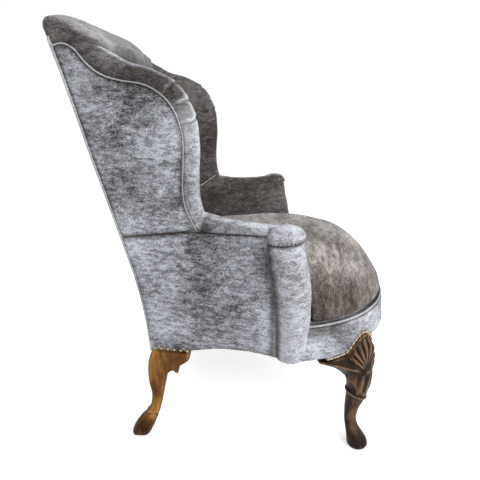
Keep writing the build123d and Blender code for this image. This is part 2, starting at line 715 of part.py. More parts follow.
# Arm pad: the inside of the arm and the roll along its top
def arm_form(grow):
    lean = (ARM_PANEL_TOP - DECK_TOP) / (ARM_PANEL_TOP - PANEL_FOOT)
    with BuildPart() as form:
        for y in ARM_STATIONS:
            roll_x = arm_roll_x(y)
            foot = (arm_inner_x(y) - grow, DECK_TOP)
            shoulder = (arm_inner_x(y) + ARM_SHOULDER_LEAN - grow, ARM_SHOULDER_Z)
            inner = (roll_x - ARM_ROLL_HALF_WIDTH - grow, ARM_TOP_Z - ARM_ROLL_HEIGHT)
            outer = (roll_x + ARM_ROLL_HALF_WIDTH + grow, ARM_TOP_Z - ARM_ROLL_HEIGHT)
            crown = (roll_x, ARM_TOP_Z + grow)
            outer_foot_x = panel_top_x(y) + lean * (side_x(y) - panel_top_x(y)) - PANEL - ARM_PAD_GAP
            with BuildSketch(Plane.XZ.offset(-y)):
                with BuildLine():
                    Polyline(foot, shoulder, inner)
                    quarter_arc(inner, crown)
                    quarter_arc(crown, outer)
                    Polyline(
                        outer,
                        (panel_top_x(y) - PANEL - ARM_PAD_GAP, ARM_PANEL_TOP + 2 * CLEARANCE),
                        (outer_foot_x, DECK_TOP),
                        foot,
                    )
                make_face()
        loft()
    return form.part


with BuildPart() as left_arm_pad:
    add(arm_form(0))
    for cutter in (wing_room, scroll_room, left_arm_rail, left_arm_stump, left_rear_post, left_wing_post):
        add(cutter.part, mode=Mode.SUBTRACT)

# Front border: padding over the curved rail, with a welt along its top
border_top = DECK_TOP - CLEARANCE
border_middle = (RAIL_BOTTOM + RAIL_TOP) / 2
with BuildPart() as front_border:
    with BuildSketch(Plane.XZ.offset(-SEAT_CENTRE_Y)):
        with BuildLine():
            Polyline((-RING_OUTER, RAIL_BOTTOM), (-BORDER_RADIUS, RAIL_BOTTOM))
            ThreePointArc(
                (-BORDER_RADIUS, RAIL_BOTTOM),
                (-BORDER_RADIUS - BORDER_SWELL, border_middle),
                (-BORDER_RADIUS, RAIL_TOP),
            )
            Polyline(
                (-BORDER_RADIUS, RAIL_TOP),
                (-RING_OUTER, border_top),
                (-DECK_RADIUS, border_top),
                (-DECK_RADIUS, RAIL_TOP),
                (-RING_OUTER, RAIL_TOP),
                (-RING_OUTER, RAIL_BOTTOM),
            )
        make_face()
    revolve(axis=SEAT_AXIS, revolution_arc=180)
    for side_piece in (scroll_room, left_outside_arm_panel):
        add(side_piece.part, mode=Mode.SUBTRACT)
        mirror(side_piece.part, about=Plane.YZ, mode=Mode.SUBTRACT)

# The welt lies on the border's slanted upper edge
edge_run = BORDER_THICKNESS
edge_rise = border_top - RAIL_TOP
edge_length = math.hypot(edge_run, edge_rise)
welt_ring = BORDER_RADIUS - edge_run / 2 + (WELT_RADIUS + CLEARANCE) * edge_rise / edge_length
welt_z = RAIL_TOP + edge_rise / 2 + (WELT_RADIUS + CLEARANCE) * edge_run / edge_length
with BuildPart() as front_border_welt:
    with BuildSketch(Plane.XZ.offset(-SEAT_CENTRE_Y)):
        with Locations((-welt_ring, welt_z)):
            Circle(WELT_RADIUS)
    revolve(axis=SEAT_AXIS, revolution_arc=180)
    for side_piece in (scroll_room, left_outside_arm_panel):
        add(side_piece.part, mode=Mode.SUBTRACT)
        mirror(side_piece.part, about=Plane.YZ, mode=Mode.SUBTRACT)

# Deck under the cushion: hessian over the springs, then a thin pad
deck_rear_half_width = rail_inner_x(SEAT_REAR_Y) + DECK_LAP
deck_cutters = (scroll_room, left_rear_post)
hessian_rear_y = back_y(RAIL_TOP) - PANEL - POST_DEPTH
with BuildPart() as seat_hessian:
    add(seat_plate(DECK_RADIUS, deck_rear_half_width, hessian_rear_y, RAIL_TOP, HESSIAN))
    for side_piece in deck_cutters:
        add(side_piece.part, mode=Mode.SUBTRACT)
        mirror(side_piece.part, about=Plane.YZ, mode=Mode.SUBTRACT)
with BuildPart() as seat_deck_pad:
    add(seat_plate(DECK_RADIUS, deck_rear_half_width, SEAT_REAR_Y, RAIL_TOP + HESSIAN, DECK_PAD))
    for side_piece in deck_cutters:
        add(side_piece.part, mode=Mode.SUBTRACT)
        mirror(side_piece.part, about=Plane.YZ, mode=Mode.SUBTRACT)

# Dust cover under the seat
with BuildPart() as dust_cover:
    dust_rear_half_width = side_x(post_front_y) - 2 * PANEL
    add(seat_plate(RING_OUTER - DECK_LAP, dust_rear_half_width, post_front_y, RAIL_BOTTOM - HESSIAN, HESSIAN))
    leg_rooms = [round_loft(leg, CLEARANCE) for leg in (front_leg_stations, rear_leg_stations)]
    for low_piece in leg_rooms + [scroll_room.part, left_outside_arm_panel.part]:
        add(low_piece, mode=Mode.SUBTRACT)
        mirror(low_piece, about=Plane.YZ, mode=Mode.SUBTRACT)
    for low_piece in (front_knee_blocks, rear_knee_blocks):
        add(low_piece.part, mode=Mode.SUBTRACT)

# Back: webbing over the posts, the inside pad that rolls over the crest, and the outside panel
with BuildPart() as back_webbing:
    with BuildSketch(back_plane):
        height = (POST_TOP - CREST_RAIL_HEIGHT / 2 - LOWER_BACK_RAIL_Z) / math.cos(math.radians(RAKE_ANGLE))
        for row in range(WEB_ROWS):
            with Locations((0, LOWER_BACK_RAIL_Z - BACK_BREAK_Z + height * (row + 0.5) / WEB_ROWS)):
                Rectangle(2 * (post_inner_x(LOWER_BACK_RAIL_Z) + POST_WIDTH / 2), STRAP_WIDTH)
        for column in range(WEB_COLUMNS):
            x = (column - (WEB_COLUMNS - 1) / 2) * 2 * STRAP_WIDTH
            with Locations((x, LOWER_BACK_RAIL_Z - BACK_BREAK_Z + height / 2)):
                Rectangle(STRAP_WIDTH, height)
    extrude(amount=STRAP)
    for side_piece in (left_arm_rail.part, wing_room.part, arm_form(CLEARANCE)):
        add(side_piece, mode=Mode.SUBTRACT)
        mirror(side_piece, about=Plane.YZ, mode=Mode.SUBTRACT)


def back_pad_rear(z):
    """The rear face of the inside back pad, on the webbing."""
    return back_y(z) - PANEL - POST_DEPTH - STRAP / math.cos(math.radians(RAKE_ANGLE))


with BuildPart() as beyond_wing:
    with BuildSketch(wing_plane.offset(-PANEL)):
        Rectangle(4 * POST_TOP, 4 * POST_TOP)
    extrude(amount=POST_TOP)
back_stations = [(-x, crown, drop) for x, crown, drop in reversed(BACK_STATIONS[1:])] + list(BACK_STATIONS)
with BuildPart() as inside_back_pad:
    for x, crown, drop in back_stations:
        foot = (BACK_PAD_FRONT_FOOT_Y - crown / 2, DECK_TOP)
        crest_front = (BACK_PAD_FRONT_TOP_Y - crown / 2 + drop / 2, CREST_TOP - CREST_ROLL - drop)
        belly_z = (foot[1] + crest_front[1]) / 2
        belly = ((foot[0] + crest_front[0]) / 2 - crown - BACK_BELLY, belly_z)
        crest_rear = (back_y(POST_TOP) + CREST_REAR_OVERHANG - drop / 2, POST_TOP + CREST_SKIRT)
        crest_top = ((crest_front[0] + crest_rear[0]) / 2, CREST_TOP - drop)
        with BuildSketch(Plane.YZ.offset(x)):
            with BuildLine():
                ThreePointArc(foot, belly, crest_front)
                quarter_arc(crest_front, crest_top)
                quarter_arc(crest_top, crest_rear)
                Polyline(
                    crest_rear,
                    (back_y(POST_TOP), POST_TOP),
                    (back_pad_rear(POST_TOP), POST_TOP),
                    (back_pad_rear(BACK_BREAK_Z), BACK_BREAK_Z),
                    (back_pad_rear(DECK_TOP), DECK_TOP),
                    foot,
                )
            make_face()
    loft()
    for side_piece in (beyond_wing.part, wing_room.part, arm_form(CLEARANCE), left_arm_rail.part):
        add(side_piece, mode=Mode.SUBTRACT)
        mirror(side_piece, about=Plane.YZ, mode=Mode.SUBTRACT)

with BuildPart() as outside_back_panel:
    for z in (PANEL_ARCH_REAR_Z, BACK_BREAK_Z, POST_TOP):
        with BuildSketch(Plane.XY.offset(z)):
            with Locations((0, back_y(z) - PANEL / 2)):
                Rectangle(2 * back_side_x(z), PANEL)
    loft(ruled=True)

# A welt beside each edge of the outside back panel
with BuildPart() as left_back_welt:
    for z in (PANEL_ARCH_REAR_Z, BACK_BREAK_Z, POST_TOP):
        with BuildSketch(Plane((back_side_x(z) + PANEL / 2 + CLEARANCE, back_y(z) - PANEL / 2, z))):
            Circle(PANEL / 2)
    loft(ruled=True)
with BuildPart() as outside_back_welts:
    add(left_back_welt.part)
    mirror(left_back_welt.part, about=Plane.YZ)


def cushion_section(inset, bottom):
    """Half of the cushion's section, from its middle to its side."""
    profile = (
        (0, CUSHION_CROWN - inset),
        (CUSHION_SHOULDER_RADIUS - inset, CUSHION_SHOULDER_Z - inset),
        (CUSHION_EDGE_RADIUS - inset, CUSHION_EDGE_Z),
        (CUSHION_SEAM_RADIUS - inset, bottom),
    )
    with BuildSketch() as half:
        with BuildLine():
            RadiusArc(profile[0], profile[1], CUSHION_TOP_SWEEP)
            RadiusArc(profile[1], profile[2], CUSHION_SIDE_SWEEP)
            Polyline(profile[2], profile[3], (0, bottom), profile[0])
        make_face()
    return half.sketch


def cushion_form(inset):
    """The crowned T-shaped seat cushion, drawn in by an inset all round."""
    bottom = DECK_TOP + CUSHION_GAP + inset
    half = cushion_section(inset, bottom)
    with BuildPart() as body:
        with BuildSketch(Plane.XZ.offset(-SEAT_CENTRE_Y)):
            add(half)
        revolve(axis=SEAT_AXIS, revolution_arc=-180)
        with BuildSketch(Plane.XZ.offset(-SEAT_CENTRE_Y)):
            add(half)
            mirror(about=Plane.YZ)
        extrude(amount=SEAT_CENTRE_Y - SEAT_REAR_Y + inset)
        with BuildSketch(Plane.XY.offset(bottom)):
            with BuildLine():
                side = CUSHION_ARM_GAP + inset
                ear_y = scroll_stations[1][1] - scroll_stations[1][3] - CUSHION_ARM_GAP - inset
                front = FilletPolyline(
                    (0, SEAT_REAR_Y - inset),
                    (arm_inner_x(SEAT_REAR_Y) - side, SEAT_REAR_Y - inset),
                    (arm_inner_x(ear_y + CUSHION_CORNER) - side, ear_y),
                    (BORDER_RADIUS, ear_y),
                    radius=(CUSHION_CORNER, CUSHION_CORNER / 2),
                )
                Polyline(front @ 1, (BORDER_RADIUS, -2 * BORDER_RADIUS), (0, -2 * BORDER_RADIUS), front @ 0)
            make_face()
            mirror(about=Plane.YZ)
        extrude(amount=CUSHION_CROWN, mode=Mode.INTERSECT)
    return body.part


with BuildPart() as cushion_filling:
    add(cushion_form(CUSHION_COVER))
with BuildPart() as cushion_cover:
    add(cushion_form(0))
    add(cushion_filling.part, mode=Mode.SUBTRACT)


# Brass nails: a row over each rear leg, and a line round each front knee
def border_radius(z):
    """The border's outer radius at a height, where it swells."""
    return BORDER_RADIUS + BORDER_SWELL * (1 - ((z - border_middle) / (RAIL_TOP - border_middle)) ** 2)


def nail_planes():
    """Where each nail sits, facing out of the cloth."""
    planes = []
    for count in range(REAR_NAILS):
        y = back_y(RAIL_BOTTOM) - PANEL - 2 * NAIL_RADIUS - count * NAIL_PITCH
        slope = (panel_top_x(y) - side_x(y)) / (ARM_PANEL_TOP - PANEL_FOOT)
        x = side_x(y) + slope * (REAR_NAIL_Z - PANEL_FOOT)
        planes.append(Plane(origin=(x + CLEARANCE, y, REAR_NAIL_Z), z_dir=(1, SIDE_FLARE, -slope)))
    for turn in (1, -1):
        for away, z in FRONT_NAILS:
            angle = LEG_ANGLE + turn * math.degrees(away / BORDER_RADIUS)
            x, y = seat_point(border_radius(z) + CLEARANCE, angle)
            slope = -2 * BORDER_SWELL * (z - border_middle) / (RAIL_TOP - border_middle) ** 2
            outward = (x, y - SEAT_CENTRE_Y, -slope * border_radius(z))
            planes.append(Plane(origin=(x, y, z), z_dir=outward))
    return planes


with BuildPart() as left_nails:
    with Locations(*nail_planes()):
        Sphere(NAIL_RADIUS, arc_size1=0, align=(Align.CENTER, Align.CENTER, Align.MIN))
with BuildPart() as brass_nails:
    add(left_nails.part)
    mirror(left_nails.part, about=Plane.YZ)

os.makedirs("parts", exist_ok=True)
single_pieces = {
    "front_seat_rail": front_seat_rail,
    "rear_seat_rail": rear_seat_rail,
    "crest_rail": crest_rail,
    "lower_back_rail": lower_back_rail,
    "corner_blocks": corner_blocks,
    "corner_block_screws": corner_block_screws,
    "frame_dowels": frame_dowels,
    "front_knee_blocks": front_knee_blocks,
    "rear_knee_blocks": rear_knee_blocks,
    "seat_springs": seat_springs,
    "spring_clips": spring_clips,
    "seat_hessian": seat_hessian,
    "seat_deck_pad": seat_deck_pad,
    "dust_cover": dust_cover,
    "front_border": front_border,
    "front_border_welt": front_border_welt,
    "back_webbing": back_webbing,
    "inside_back_pad": inside_back_pad,
    "outside_back_panel": outside_back_panel,
    "outside_back_welts": outside_back_welts,
    "cushion_cover": cushion_cover,
    "cushion_filling": cushion_filling,
    "brass_nails": brass_nails,
}
left_pieces = {
    "left_seat_rail": left_seat_rail,
    "left_rear_post": left_rear_post,
    "left_wing_post": left_wing_post,
    "left_wing_rail": left_wing_rail,
    "left_arm_rail": left_arm_rail,
    "left_arm_stump": left_arm_stump,
    "front_left_leg": front_left_leg,
    "rear_left_leg": rear_left_leg,
    "left_arm_scroll": left_arm_scroll,
    "left_arm_cap": left_arm_cap,
    "left_outside_arm_panel": left_outside_arm_panel,
    "left_outside_wing_panel": left_outside_wing_panel,
    "left_wing_pad": left_wing_pad,
    "left_wing_welt": left_wing_welt,
    "left_arm_pad": left_arm_pad,
}
pieces = dict(single_pieces)
for label, piece in left_pieces.items():
    pieces[label] = piece
    pieces[label.replace("left", "right")] = mirrored(piece)
for label, piece in pieces.items():
    piece.part.label = label
    export_step(piece.part, f"parts/{label}.step")
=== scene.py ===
import json
import math

import bpy
import numpy as np
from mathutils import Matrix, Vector


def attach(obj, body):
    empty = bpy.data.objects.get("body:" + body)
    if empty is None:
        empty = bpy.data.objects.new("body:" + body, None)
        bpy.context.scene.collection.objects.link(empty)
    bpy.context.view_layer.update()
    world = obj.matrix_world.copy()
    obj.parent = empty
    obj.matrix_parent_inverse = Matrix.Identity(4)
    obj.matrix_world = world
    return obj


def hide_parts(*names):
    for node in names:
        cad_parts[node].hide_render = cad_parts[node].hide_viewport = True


# Looks of the velvet wing armchair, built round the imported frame. Lengths are in millimetres
# until a mesh is made. The chair faces -Y, and the left side (+X) is shaped, then mirrored.

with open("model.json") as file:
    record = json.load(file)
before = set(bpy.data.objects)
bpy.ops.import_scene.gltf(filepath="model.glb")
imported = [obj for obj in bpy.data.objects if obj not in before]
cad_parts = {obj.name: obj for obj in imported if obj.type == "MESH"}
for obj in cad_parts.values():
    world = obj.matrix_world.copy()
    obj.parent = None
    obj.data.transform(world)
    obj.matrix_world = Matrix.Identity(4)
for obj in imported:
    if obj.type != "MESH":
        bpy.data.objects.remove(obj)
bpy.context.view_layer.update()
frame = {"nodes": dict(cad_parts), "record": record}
scene = bpy.context.scene
MM = 0.001
CHAIR, CUSHION = "chair", "seat_cushion"
# A direction that no line of the chair runs along, to find the sides of a tube from
ODD_WAY = (0.31, 0.27, 0.91)


# Small maths helpers
def smooth_min(a, b, k):
    """The union of two fields, blended over k."""
    h = np.clip(0.5 + 0.5 * (b - a) / k, 0, 1)
    return b + (a - b) * h - k * h * (1 - h)


def smooth_max(a, b, k):
    """What two fields share, blended over k."""
    return -smooth_min(-a, -b, k)


def ramp(low, high, x):
    """From 0 at low to 1 at high, eased at both ends. Low may be the larger one."""
    t = np.clip((x - low) / (high - low), 0, 1)
    return t * t * (3 - 2 * t)


def bell(x):
    """1 at 0, and next to nothing past 2."""
    return np.exp(-(x**2))


def arch(x, half):
    """1 in the middle, and 0 from a half width on."""
    return np.cos(np.clip(np.abs(x) / half, 0, 1) * math.pi / 2)


def hump(x, length):
    """0 at both ends of a length and 1 halfway."""
    return np.sin(np.clip(x / length, 0, 1) * math.pi)


def line(x, knots):
    """A smooth curve through (place, value) knots."""
    places = np.array([k[0] for k in knots], float)
    values = np.array([k[1] for k in knots], float)
    slopes = np.gradient(values, places)
    x = np.clip(x, places[0], places[-1])
    i = np.clip(np.searchsorted(places, x) - 1, 0, len(places) - 2)
    width = places[i + 1] - places[i]
    t = (x - places[i]) / width
    h00, h10 = (1 + 2 * t) * (1 - t) ** 2, t * (1 - t) ** 2
    h01, h11 = t * t * (3 - 2 * t), t * t * (t - 1)
    return h00 * values[i] + h10 * width * slopes[i] + h01 * values[i + 1] + h11 * width * slopes[i + 1]


def ripple(x, y, z, size, seed, waves=7):
    """Smooth unevenness between about -1 and 1: waves of about a size that run all ways."""
    rng = np.random.default_rng(seed)
    total = 0.0
    for _ in range(waves):
        way = rng.normal(size=3)
        way *= 2 * math.pi * (0.6 + 0.8 * rng.random()) / (size * np.linalg.norm(way))
        total = total + np.sin(way[0] * x + way[1] * y + way[2] * z + 6.3 * rng.random())
    return total / 3.2


def curve_points(points, parts=6):
    """A smooth line through points in the plane or in space."""
    p = np.array(points, float)
    p = np.vstack([2 * p[0] - p[1], p, 2 * p[-1] - p[-2]])
    out = []
    for a, b, c, d in zip(p[:-3], p[1:-2], p[2:-1], p[3:]):
        for t in np.arange(parts) / parts:
            out.append(b + 0.5 * t * (c - a + t * (2 * a - 5 * b + 4 * c - d + t * (3 * (b - c) + d - a))))
    out.append(p[-2])
    return np.array(out)


def near_line(points, u, v):
    """Distance to a line in the plane, and how far along it the nearest point is."""
    best = np.full(np.shape(u), 1e9)
    where = np.zeros(np.shape(u))
    run = 0.0
    for a, b in zip(points[:-1], points[1:]):
        du, dv = b - a
        span = math.hypot(du, dv)
        if span < 1e-9:
            continue
        t = np.clip(((u - a[0]) * du + (v - a[1]) * dv) / span**2, 0, 1)
        gap = np.hypot(u - a[0] - t * du, v - a[1] - t * dv)
        closer = gap < best
        best = np.where(closer, gap, best)
        where = np.where(closer, run + t * span, where)
        run += span
    return best, where


def in_outline(points, u, v):
    """Signed distance to a closed outline in the plane, negative inside."""
    loop = np.vstack([points, points[:1]])
    gap, _ = near_line(loop, u, v)
    inside = np.zeros(np.shape(u), bool)
    for a, b in zip(loop[:-1], loop[1:]):
        if a[1] != b[1]:
            crosses = (a[1] > v) != (b[1] > v)
            inside ^= crosses & (u < a[0] + (v - a[1]) * (b[0] - a[0]) / (b[1] - a[1]))
    return np.where(inside, -gap, gap)


def stations(rows):
    """Rows of (height, x, y, radius) as knots of x, y and radius over the height."""
    return [[(row[0], row[i]) for row in rows] for i in (1, 2, 3)]


# Meshes
def skin(form, low, high, size):
    """Points and quads of the surface where a field is zero, from a grid of that size."""
    axes = [np.arange(a, b + size, size) for a, b in zip(low, high)]
    field = form(*np.meshgrid(*axes, indexing="ij"))
    inside = field < 0
    n = np.array(field.shape) - 1
    # Number the cells that the surface passes through
    corners = [(i, j, k) for i in (0, 1) for j in (0, 1) for k in (0, 1)]
    count = sum(inside[i : i + n[0], j : j + n[1], k : k + n[2]].astype(np.int8) for i, j, k in corners)
    mixed = (count > 0) & (count < 8)
    cells = np.argwhere(mixed)
    number = np.full(mixed.shape, -1)
    number[mixed] = np.arange(len(cells))
    # One point in each, in the middle of the places where the surface crosses its edges
    total, hits = np.zeros((len(cells), 3)), np.zeros(len(cells))
    for a in corners:
        for axis in range(3):
            if a[axis]:
                continue
            b = list(a)
            b[axis] = 1
            fa, fb = field[tuple((cells + a).T)], field[tuple((cells + b).T)]
            cut = (fa < 0) != (fb < 0)
            point = np.tile(np.array(a, float), (cut.sum(), 1))
            point[:, axis] = fa[cut] / (fa[cut] - fb[cut])
            total[cut] += point
            hits[cut] += 1
    points = np.array(low, float) + (cells + total / hits[:, None]) * size
    # One quad round each edge of the grid that the surface crosses
    quads = []
    for axis in range(3):
        u, v = (axis + 1) % 3, (axis + 2) % 3
        lower, upper = [slice(None)] * 3, [slice(None)] * 3
        lower[axis], upper[axis] = slice(0, -1), slice(1, None)
        edge = np.argwhere(inside[tuple(lower)] != inside[tuple(upper)])
        keep = (edge[:, u] > 0) & (edge[:, v] > 0) & (edge[:, u] < n[u]) & (edge[:, v] < n[v])
        edge = edge[keep]
        quad = []
        for du, dv in ((-1, -1), (0, -1), (0, 0), (-1, 0)):
            cell = edge.copy()
            cell[:, u] += du
            cell[:, v] += dv
            quad.append(number[tuple(cell.T)])
        quad = np.stack(quad, 1)
        flip = ~inside[tuple(edge.T)]
        quad[flip] = quad[flip][:, ::-1]
        quads.append(quad)
    return points, np.concatenate(quads)


def tube(points, radius, sides=10):
    """Points and quads of a tube along a line in space."""
    p = np.array(points, float)
    way = np.gradient(p, axis=0)
    way /= np.linalg.norm(way, axis=1)[:, None]
    side = np.cross(way, ODD_WAY)
    side /= np.linalg.norm(side, axis=1)[:, None]
    up = np.cross(way, side)
    turn = np.arange(sides) * 2 * math.pi / sides
    rings = p[:, None] + radius * (
        np.cos(turn)[None, :, None] * side[:, None] + np.sin(turn)[None, :, None] * up[:, None]
    )
    count = len(p)
    quads = []
    for i in range(count - 1):
        for j in range(sides):
            k = (j + 1) % sides
            quads.append((i * sides + j, i * sides + k, (i + 1) * sides + k, (i + 1) * sides + j))
    quads.append(tuple(range(sides))[::-1])
    quads.append(tuple((count - 1) * sides + j for j in range(sides)))
    return rings.reshape(-1, 3), quads


def mirror_shape(shape):
    """The same shape on the other side of the chair."""
    points, faces = shape
    return points * np.array([-1, 1, 1]), [tuple(f)[::-1] for f in faces]


def joined(*shapes):
    """Several shapes as one."""
    points, faces, start = [], [], 0
    for p, f in shapes:
        points.append(p)
        faces += [tuple(int(i) + start for i in q) for q in f]
        start += len(p)
    return np.vstack(points), faces


def both_sides(shape):
    """A shape and its mirror image as one."""
    return joined(shape, mirror_shape(shape))


def piece(name, shape, material, nodes=(), body=CHAIR, shade=None):
    """One piece of the chair: it rides a body and stands for CAD nodes. Its shade function gives,
    for points and normals turned to the left side, how dark to paint it: painted shade and highlight."""
    points, faces = shape
    mesh = bpy.data.meshes.new(name)
    mesh.from_pydata((points * MM).tolist(), [], [tuple(int(i) for i in f) for f in faces])
    mesh.materials.append(material)
    mesh.shade_smooth()
    if shade:
        normals = np.empty(3 * len(points))
        mesh.vertices.foreach_get("normal", normals)
        to_left = np.ones((len(points), 3))
        to_left[points[:, 0] < 0, 0] = -1
        dark = np.clip(shade(*(points * to_left).T, *(normals.reshape(-1, 3) * to_left).T), 0, 1)
        mesh.attributes.new("shade", "FLOAT", "POINT").data.foreach_set("value", dark)
    obj = bpy.data.objects.new(name, mesh)
    scene.collection.objects.link(obj)
    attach(obj, body)
    if nodes:
        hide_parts(*nodes)
    return obj


def pair(name, shape, material, nodes=(), shade=None):
    """A left piece and its mirror image. The names hold left."""
    for side, form in (("left", shape), ("right", mirror_shape(shape))):
        names = [n.replace("left", side) for n in nodes]
        piece(name.replace("left", side), form, material, names, shade=shade)


# Materials
def new_material(name):
    """An empty material, its node tree and its shader."""
    material = bpy.data.materials.new(name)
    material.use_nodes = True
    return material, material.node_tree, material.node_tree.nodes["Principled BSDF"]


def noise(tree, stretch, detail=5.0, roughness=0.6, distortion=0.0):
    """Noise in the object's own space, with so many waves per metre each way."""
    place = tree.nodes.new("ShaderNodeTexCoord")
    mapping = tree.nodes.new("ShaderNodeMapping")
    mapping.inputs["Scale"].default_value = stretch
    texture = tree.nodes.new("ShaderNodeTexNoise")
    texture.inputs["Scale"].default_value = 1.0
    texture.inputs["Detail"].default_value = detail
    texture.inputs["Roughness"].default_value = roughness
    texture.inputs["Distortion"].default_value = distortion
    tree.links.new(place.outputs["Object"], mapping.inputs["Vector"])
    tree.links.new(mapping.outputs["Vector"], texture.inputs["Vector"])
    return texture.outputs["Fac"]


def maths(tree, operation, a, b):
    """One sum in a node tree, of outputs or numbers."""
    node = tree.nodes.new("ShaderNodeMath")
    node.operation = operation
    for socket, value in zip(node.inputs, (a, b)):
        if isinstance(value, (int, float)):
            socket.default_value = value
        else:
            tree.links.new(value, socket)
    return node.outputs[0]


def colours(tree, factor, stops):
    """A colour for each factor, blended between (place, colour) stops."""
    node = tree.nodes.new("ShaderNodeValToRGB")
    elements = node.color_ramp.elements
    while len(elements) < len(stops):
        elements.new(0.5)
    for element, (place, colour) in zip(elements, stops):
        element.position = place
        element.color = (*colour, 1.0)
    tree.links.new(factor, node.inputs["Fac"])
    return node.outputs["Color"]


def weighted(tree, *parts):
    """The sum of outputs, each times its weight."""
    total = maths(tree, "MULTIPLY", *parts[0])
    for part in parts[1:]:
        total = maths(tree, "ADD", total, maths(tree, "MULTIPLY", *part))
    return total


def painted_shade(tree):
    """How dark a piece's shade function made each point."""
    node = tree.nodes.new("ShaderNodeAttribute")
    node.attribute_name = "shade"
    return node.outputs["Fac"]


def bump(tree, shader, height, strength, distance):
    """Small relief from an output."""
    node = tree.nodes.new("ShaderNodeBump")
    node.inputs["Strength"].default_value = strength
    node.inputs["Distance"].default_value = distance
    tree.links.new(height, node.inputs["Height"])
    tree.links.new(node.outputs["Normal"], shader.inputs["Normal"])


# Waves per metre in each direction, and where the dark, middle and light colours lie in the mix
PATCH_WAVES, STREAK_WAVES, GRAIN_WAVES = (7, 7, 8), (50, 46, 120), (290, 230, 430)
NAP_PLACES = (0.41, 0.5, 0.59)


def velvet(name, light, dark, way=(1, 1, 1)):
    """Crushed velvet: broad patches of nap, streaks and grain, stretched by way. It goes from the
    light to the dark set of three colours by the painted shade on each piece's points."""
    material, tree, shader = new_material(name)
    patches = noise(tree, np.multiply(PATCH_WAVES, way), 3.0, 0.55)
    streaks = noise(tree, np.multiply(STREAK_WAVES, way), 4.0, 0.68)
    grain = noise(tree, np.multiply(GRAIN_WAVES, way), 2.0, 0.6)
    mixed = weighted(tree, (patches, 0.34), (streaks, 0.36), (grain, 0.3))
    mix = tree.nodes.new("ShaderNodeMix")
    mix.data_type = "RGBA"
    tree.links.new(painted_shade(tree), mix.inputs["Factor"])
    for socket, colour_set in (("A", light), ("B", dark)):
        tree.links.new(colours(tree, mixed, tuple(zip(NAP_PLACES, colour_set))), mix.inputs[socket])
    tree.links.new(mix.outputs["Result"], shader.inputs["Base Color"])
    shader.inputs["Roughness"].default_value = 0.9
    shader.inputs["Specular IOR Level"].default_value = 0.1
    shader.inputs["Sheen Weight"].default_value = 0.3
    shader.inputs["Sheen Roughness"].default_value = 0.4
    shader.inputs["Sheen Tint"].default_value = (0.75, 0.78, 0.85, 1.0)
    bump(tree, shader, mixed, 0.35, 0.002)
    return material


def wood(name, dark, middle, light, gloss, crevice):
    """Waxed wood: grain along the leg and clouded stain, darker in hollows and with a painted
    highlight on ridges by the mesh's pointiness, and the painted shade from each leg's shade function.
    """
    material, tree, shader = new_material(name)
    grain = noise(tree, (90, 90, 12), 6.0, 0.6, 0.6)
    cloud = noise(tree, (16, 16, 10), 3.0, 0.5)
    shape = tree.nodes.new("ShaderNodeNewGeometry").outputs["Pointiness"]
    # Lighter ridges, a painted highlight, and darker hollows from the pointiness, then the painted shade of
    # each point
    highlight_and_shade = maths(tree, "MULTIPLY", maths(tree, "SUBTRACT", shape, 0.5), crevice)
    highlight_and_shade = maths(tree, "SUBTRACT", highlight_and_shade, maths(tree, "MULTIPLY", painted_shade(tree), 0.3))
    stain = weighted(tree, (grain, 0.4), (cloud, 0.6))
    mixed = maths(tree, "ADD", stain, highlight_and_shade)
    stops = ((0.26, dark), (0.48, middle), (0.68, light))
    tree.links.new(colours(tree, mixed, stops), shader.inputs["Base Color"])
    shader.inputs["Roughness"].default_value = gloss
    shader.inputs["Specular IOR Level"].default_value = 0.1
    shader.inputs["Coat Weight"].default_value = 0.04
    shader.inputs["Coat Roughness"].default_value = 0.2
    bump(tree, shader, grain, 0.12, 0.001)
    return material


def plain(name, dark, light, stretch, rough, metal=0.0):
    """An even finish with slight noise."""
    material, tree, shader = new_material(name)
    spots = noise(tree, stretch, 4.0, 0.6)
    tree.links.new(colours(tree, spots, ((0.3, dark), (0.7, light))), shader.inputs["Base Color"])
    shader.inputs["Roughness"].default_value = rough
    shader.inputs["Metallic"].default_value = metal
    bump(tree, shader, spots, 0.15, 0.001)
    return material


# Tones of the one velvet, each as a dark, a middle and a light one. They are painted light and
# shade: the lighter sets for faces where the light catches the nap, the darker ones for faces in
# shade, and DUSK and UMBER, the darkest, for the painted shade that each piece's shade mixes in.
SILVER = ((0.055, 0.05, 0.05), (0.245, 0.25, 0.273), (0.55, 0.58, 0.65))
PALE = ((0.17, 0.165, 0.17), (0.42, 0.435, 0.47), (0.64, 0.67, 0.73))
TAUPE = ((0.08, 0.07, 0.067), (0.2, 0.188, 0.185), (0.38, 0.37, 0.375))
DUSK = ((0.03, 0.025, 0.022), (0.072, 0.062, 0.058), (0.165, 0.155, 0.15))
MIST = ((0.11, 0.11, 0.115), (0.34, 0.35, 0.38), (0.6, 0.63, 0.69))
SEAT = ((0.09, 0.077, 0.068), (0.24, 0.215, 0.197), (0.46, 0.43, 0.41))
UMBER = ((0.035, 0.026, 0.022), (0.095, 0.076, 0.068), (0.2, 0.18, 0.17))
WELT = ((0.26, 0.265, 0.28), (0.36, 0.37, 0.39), (0.48, 0.495, 0.52))
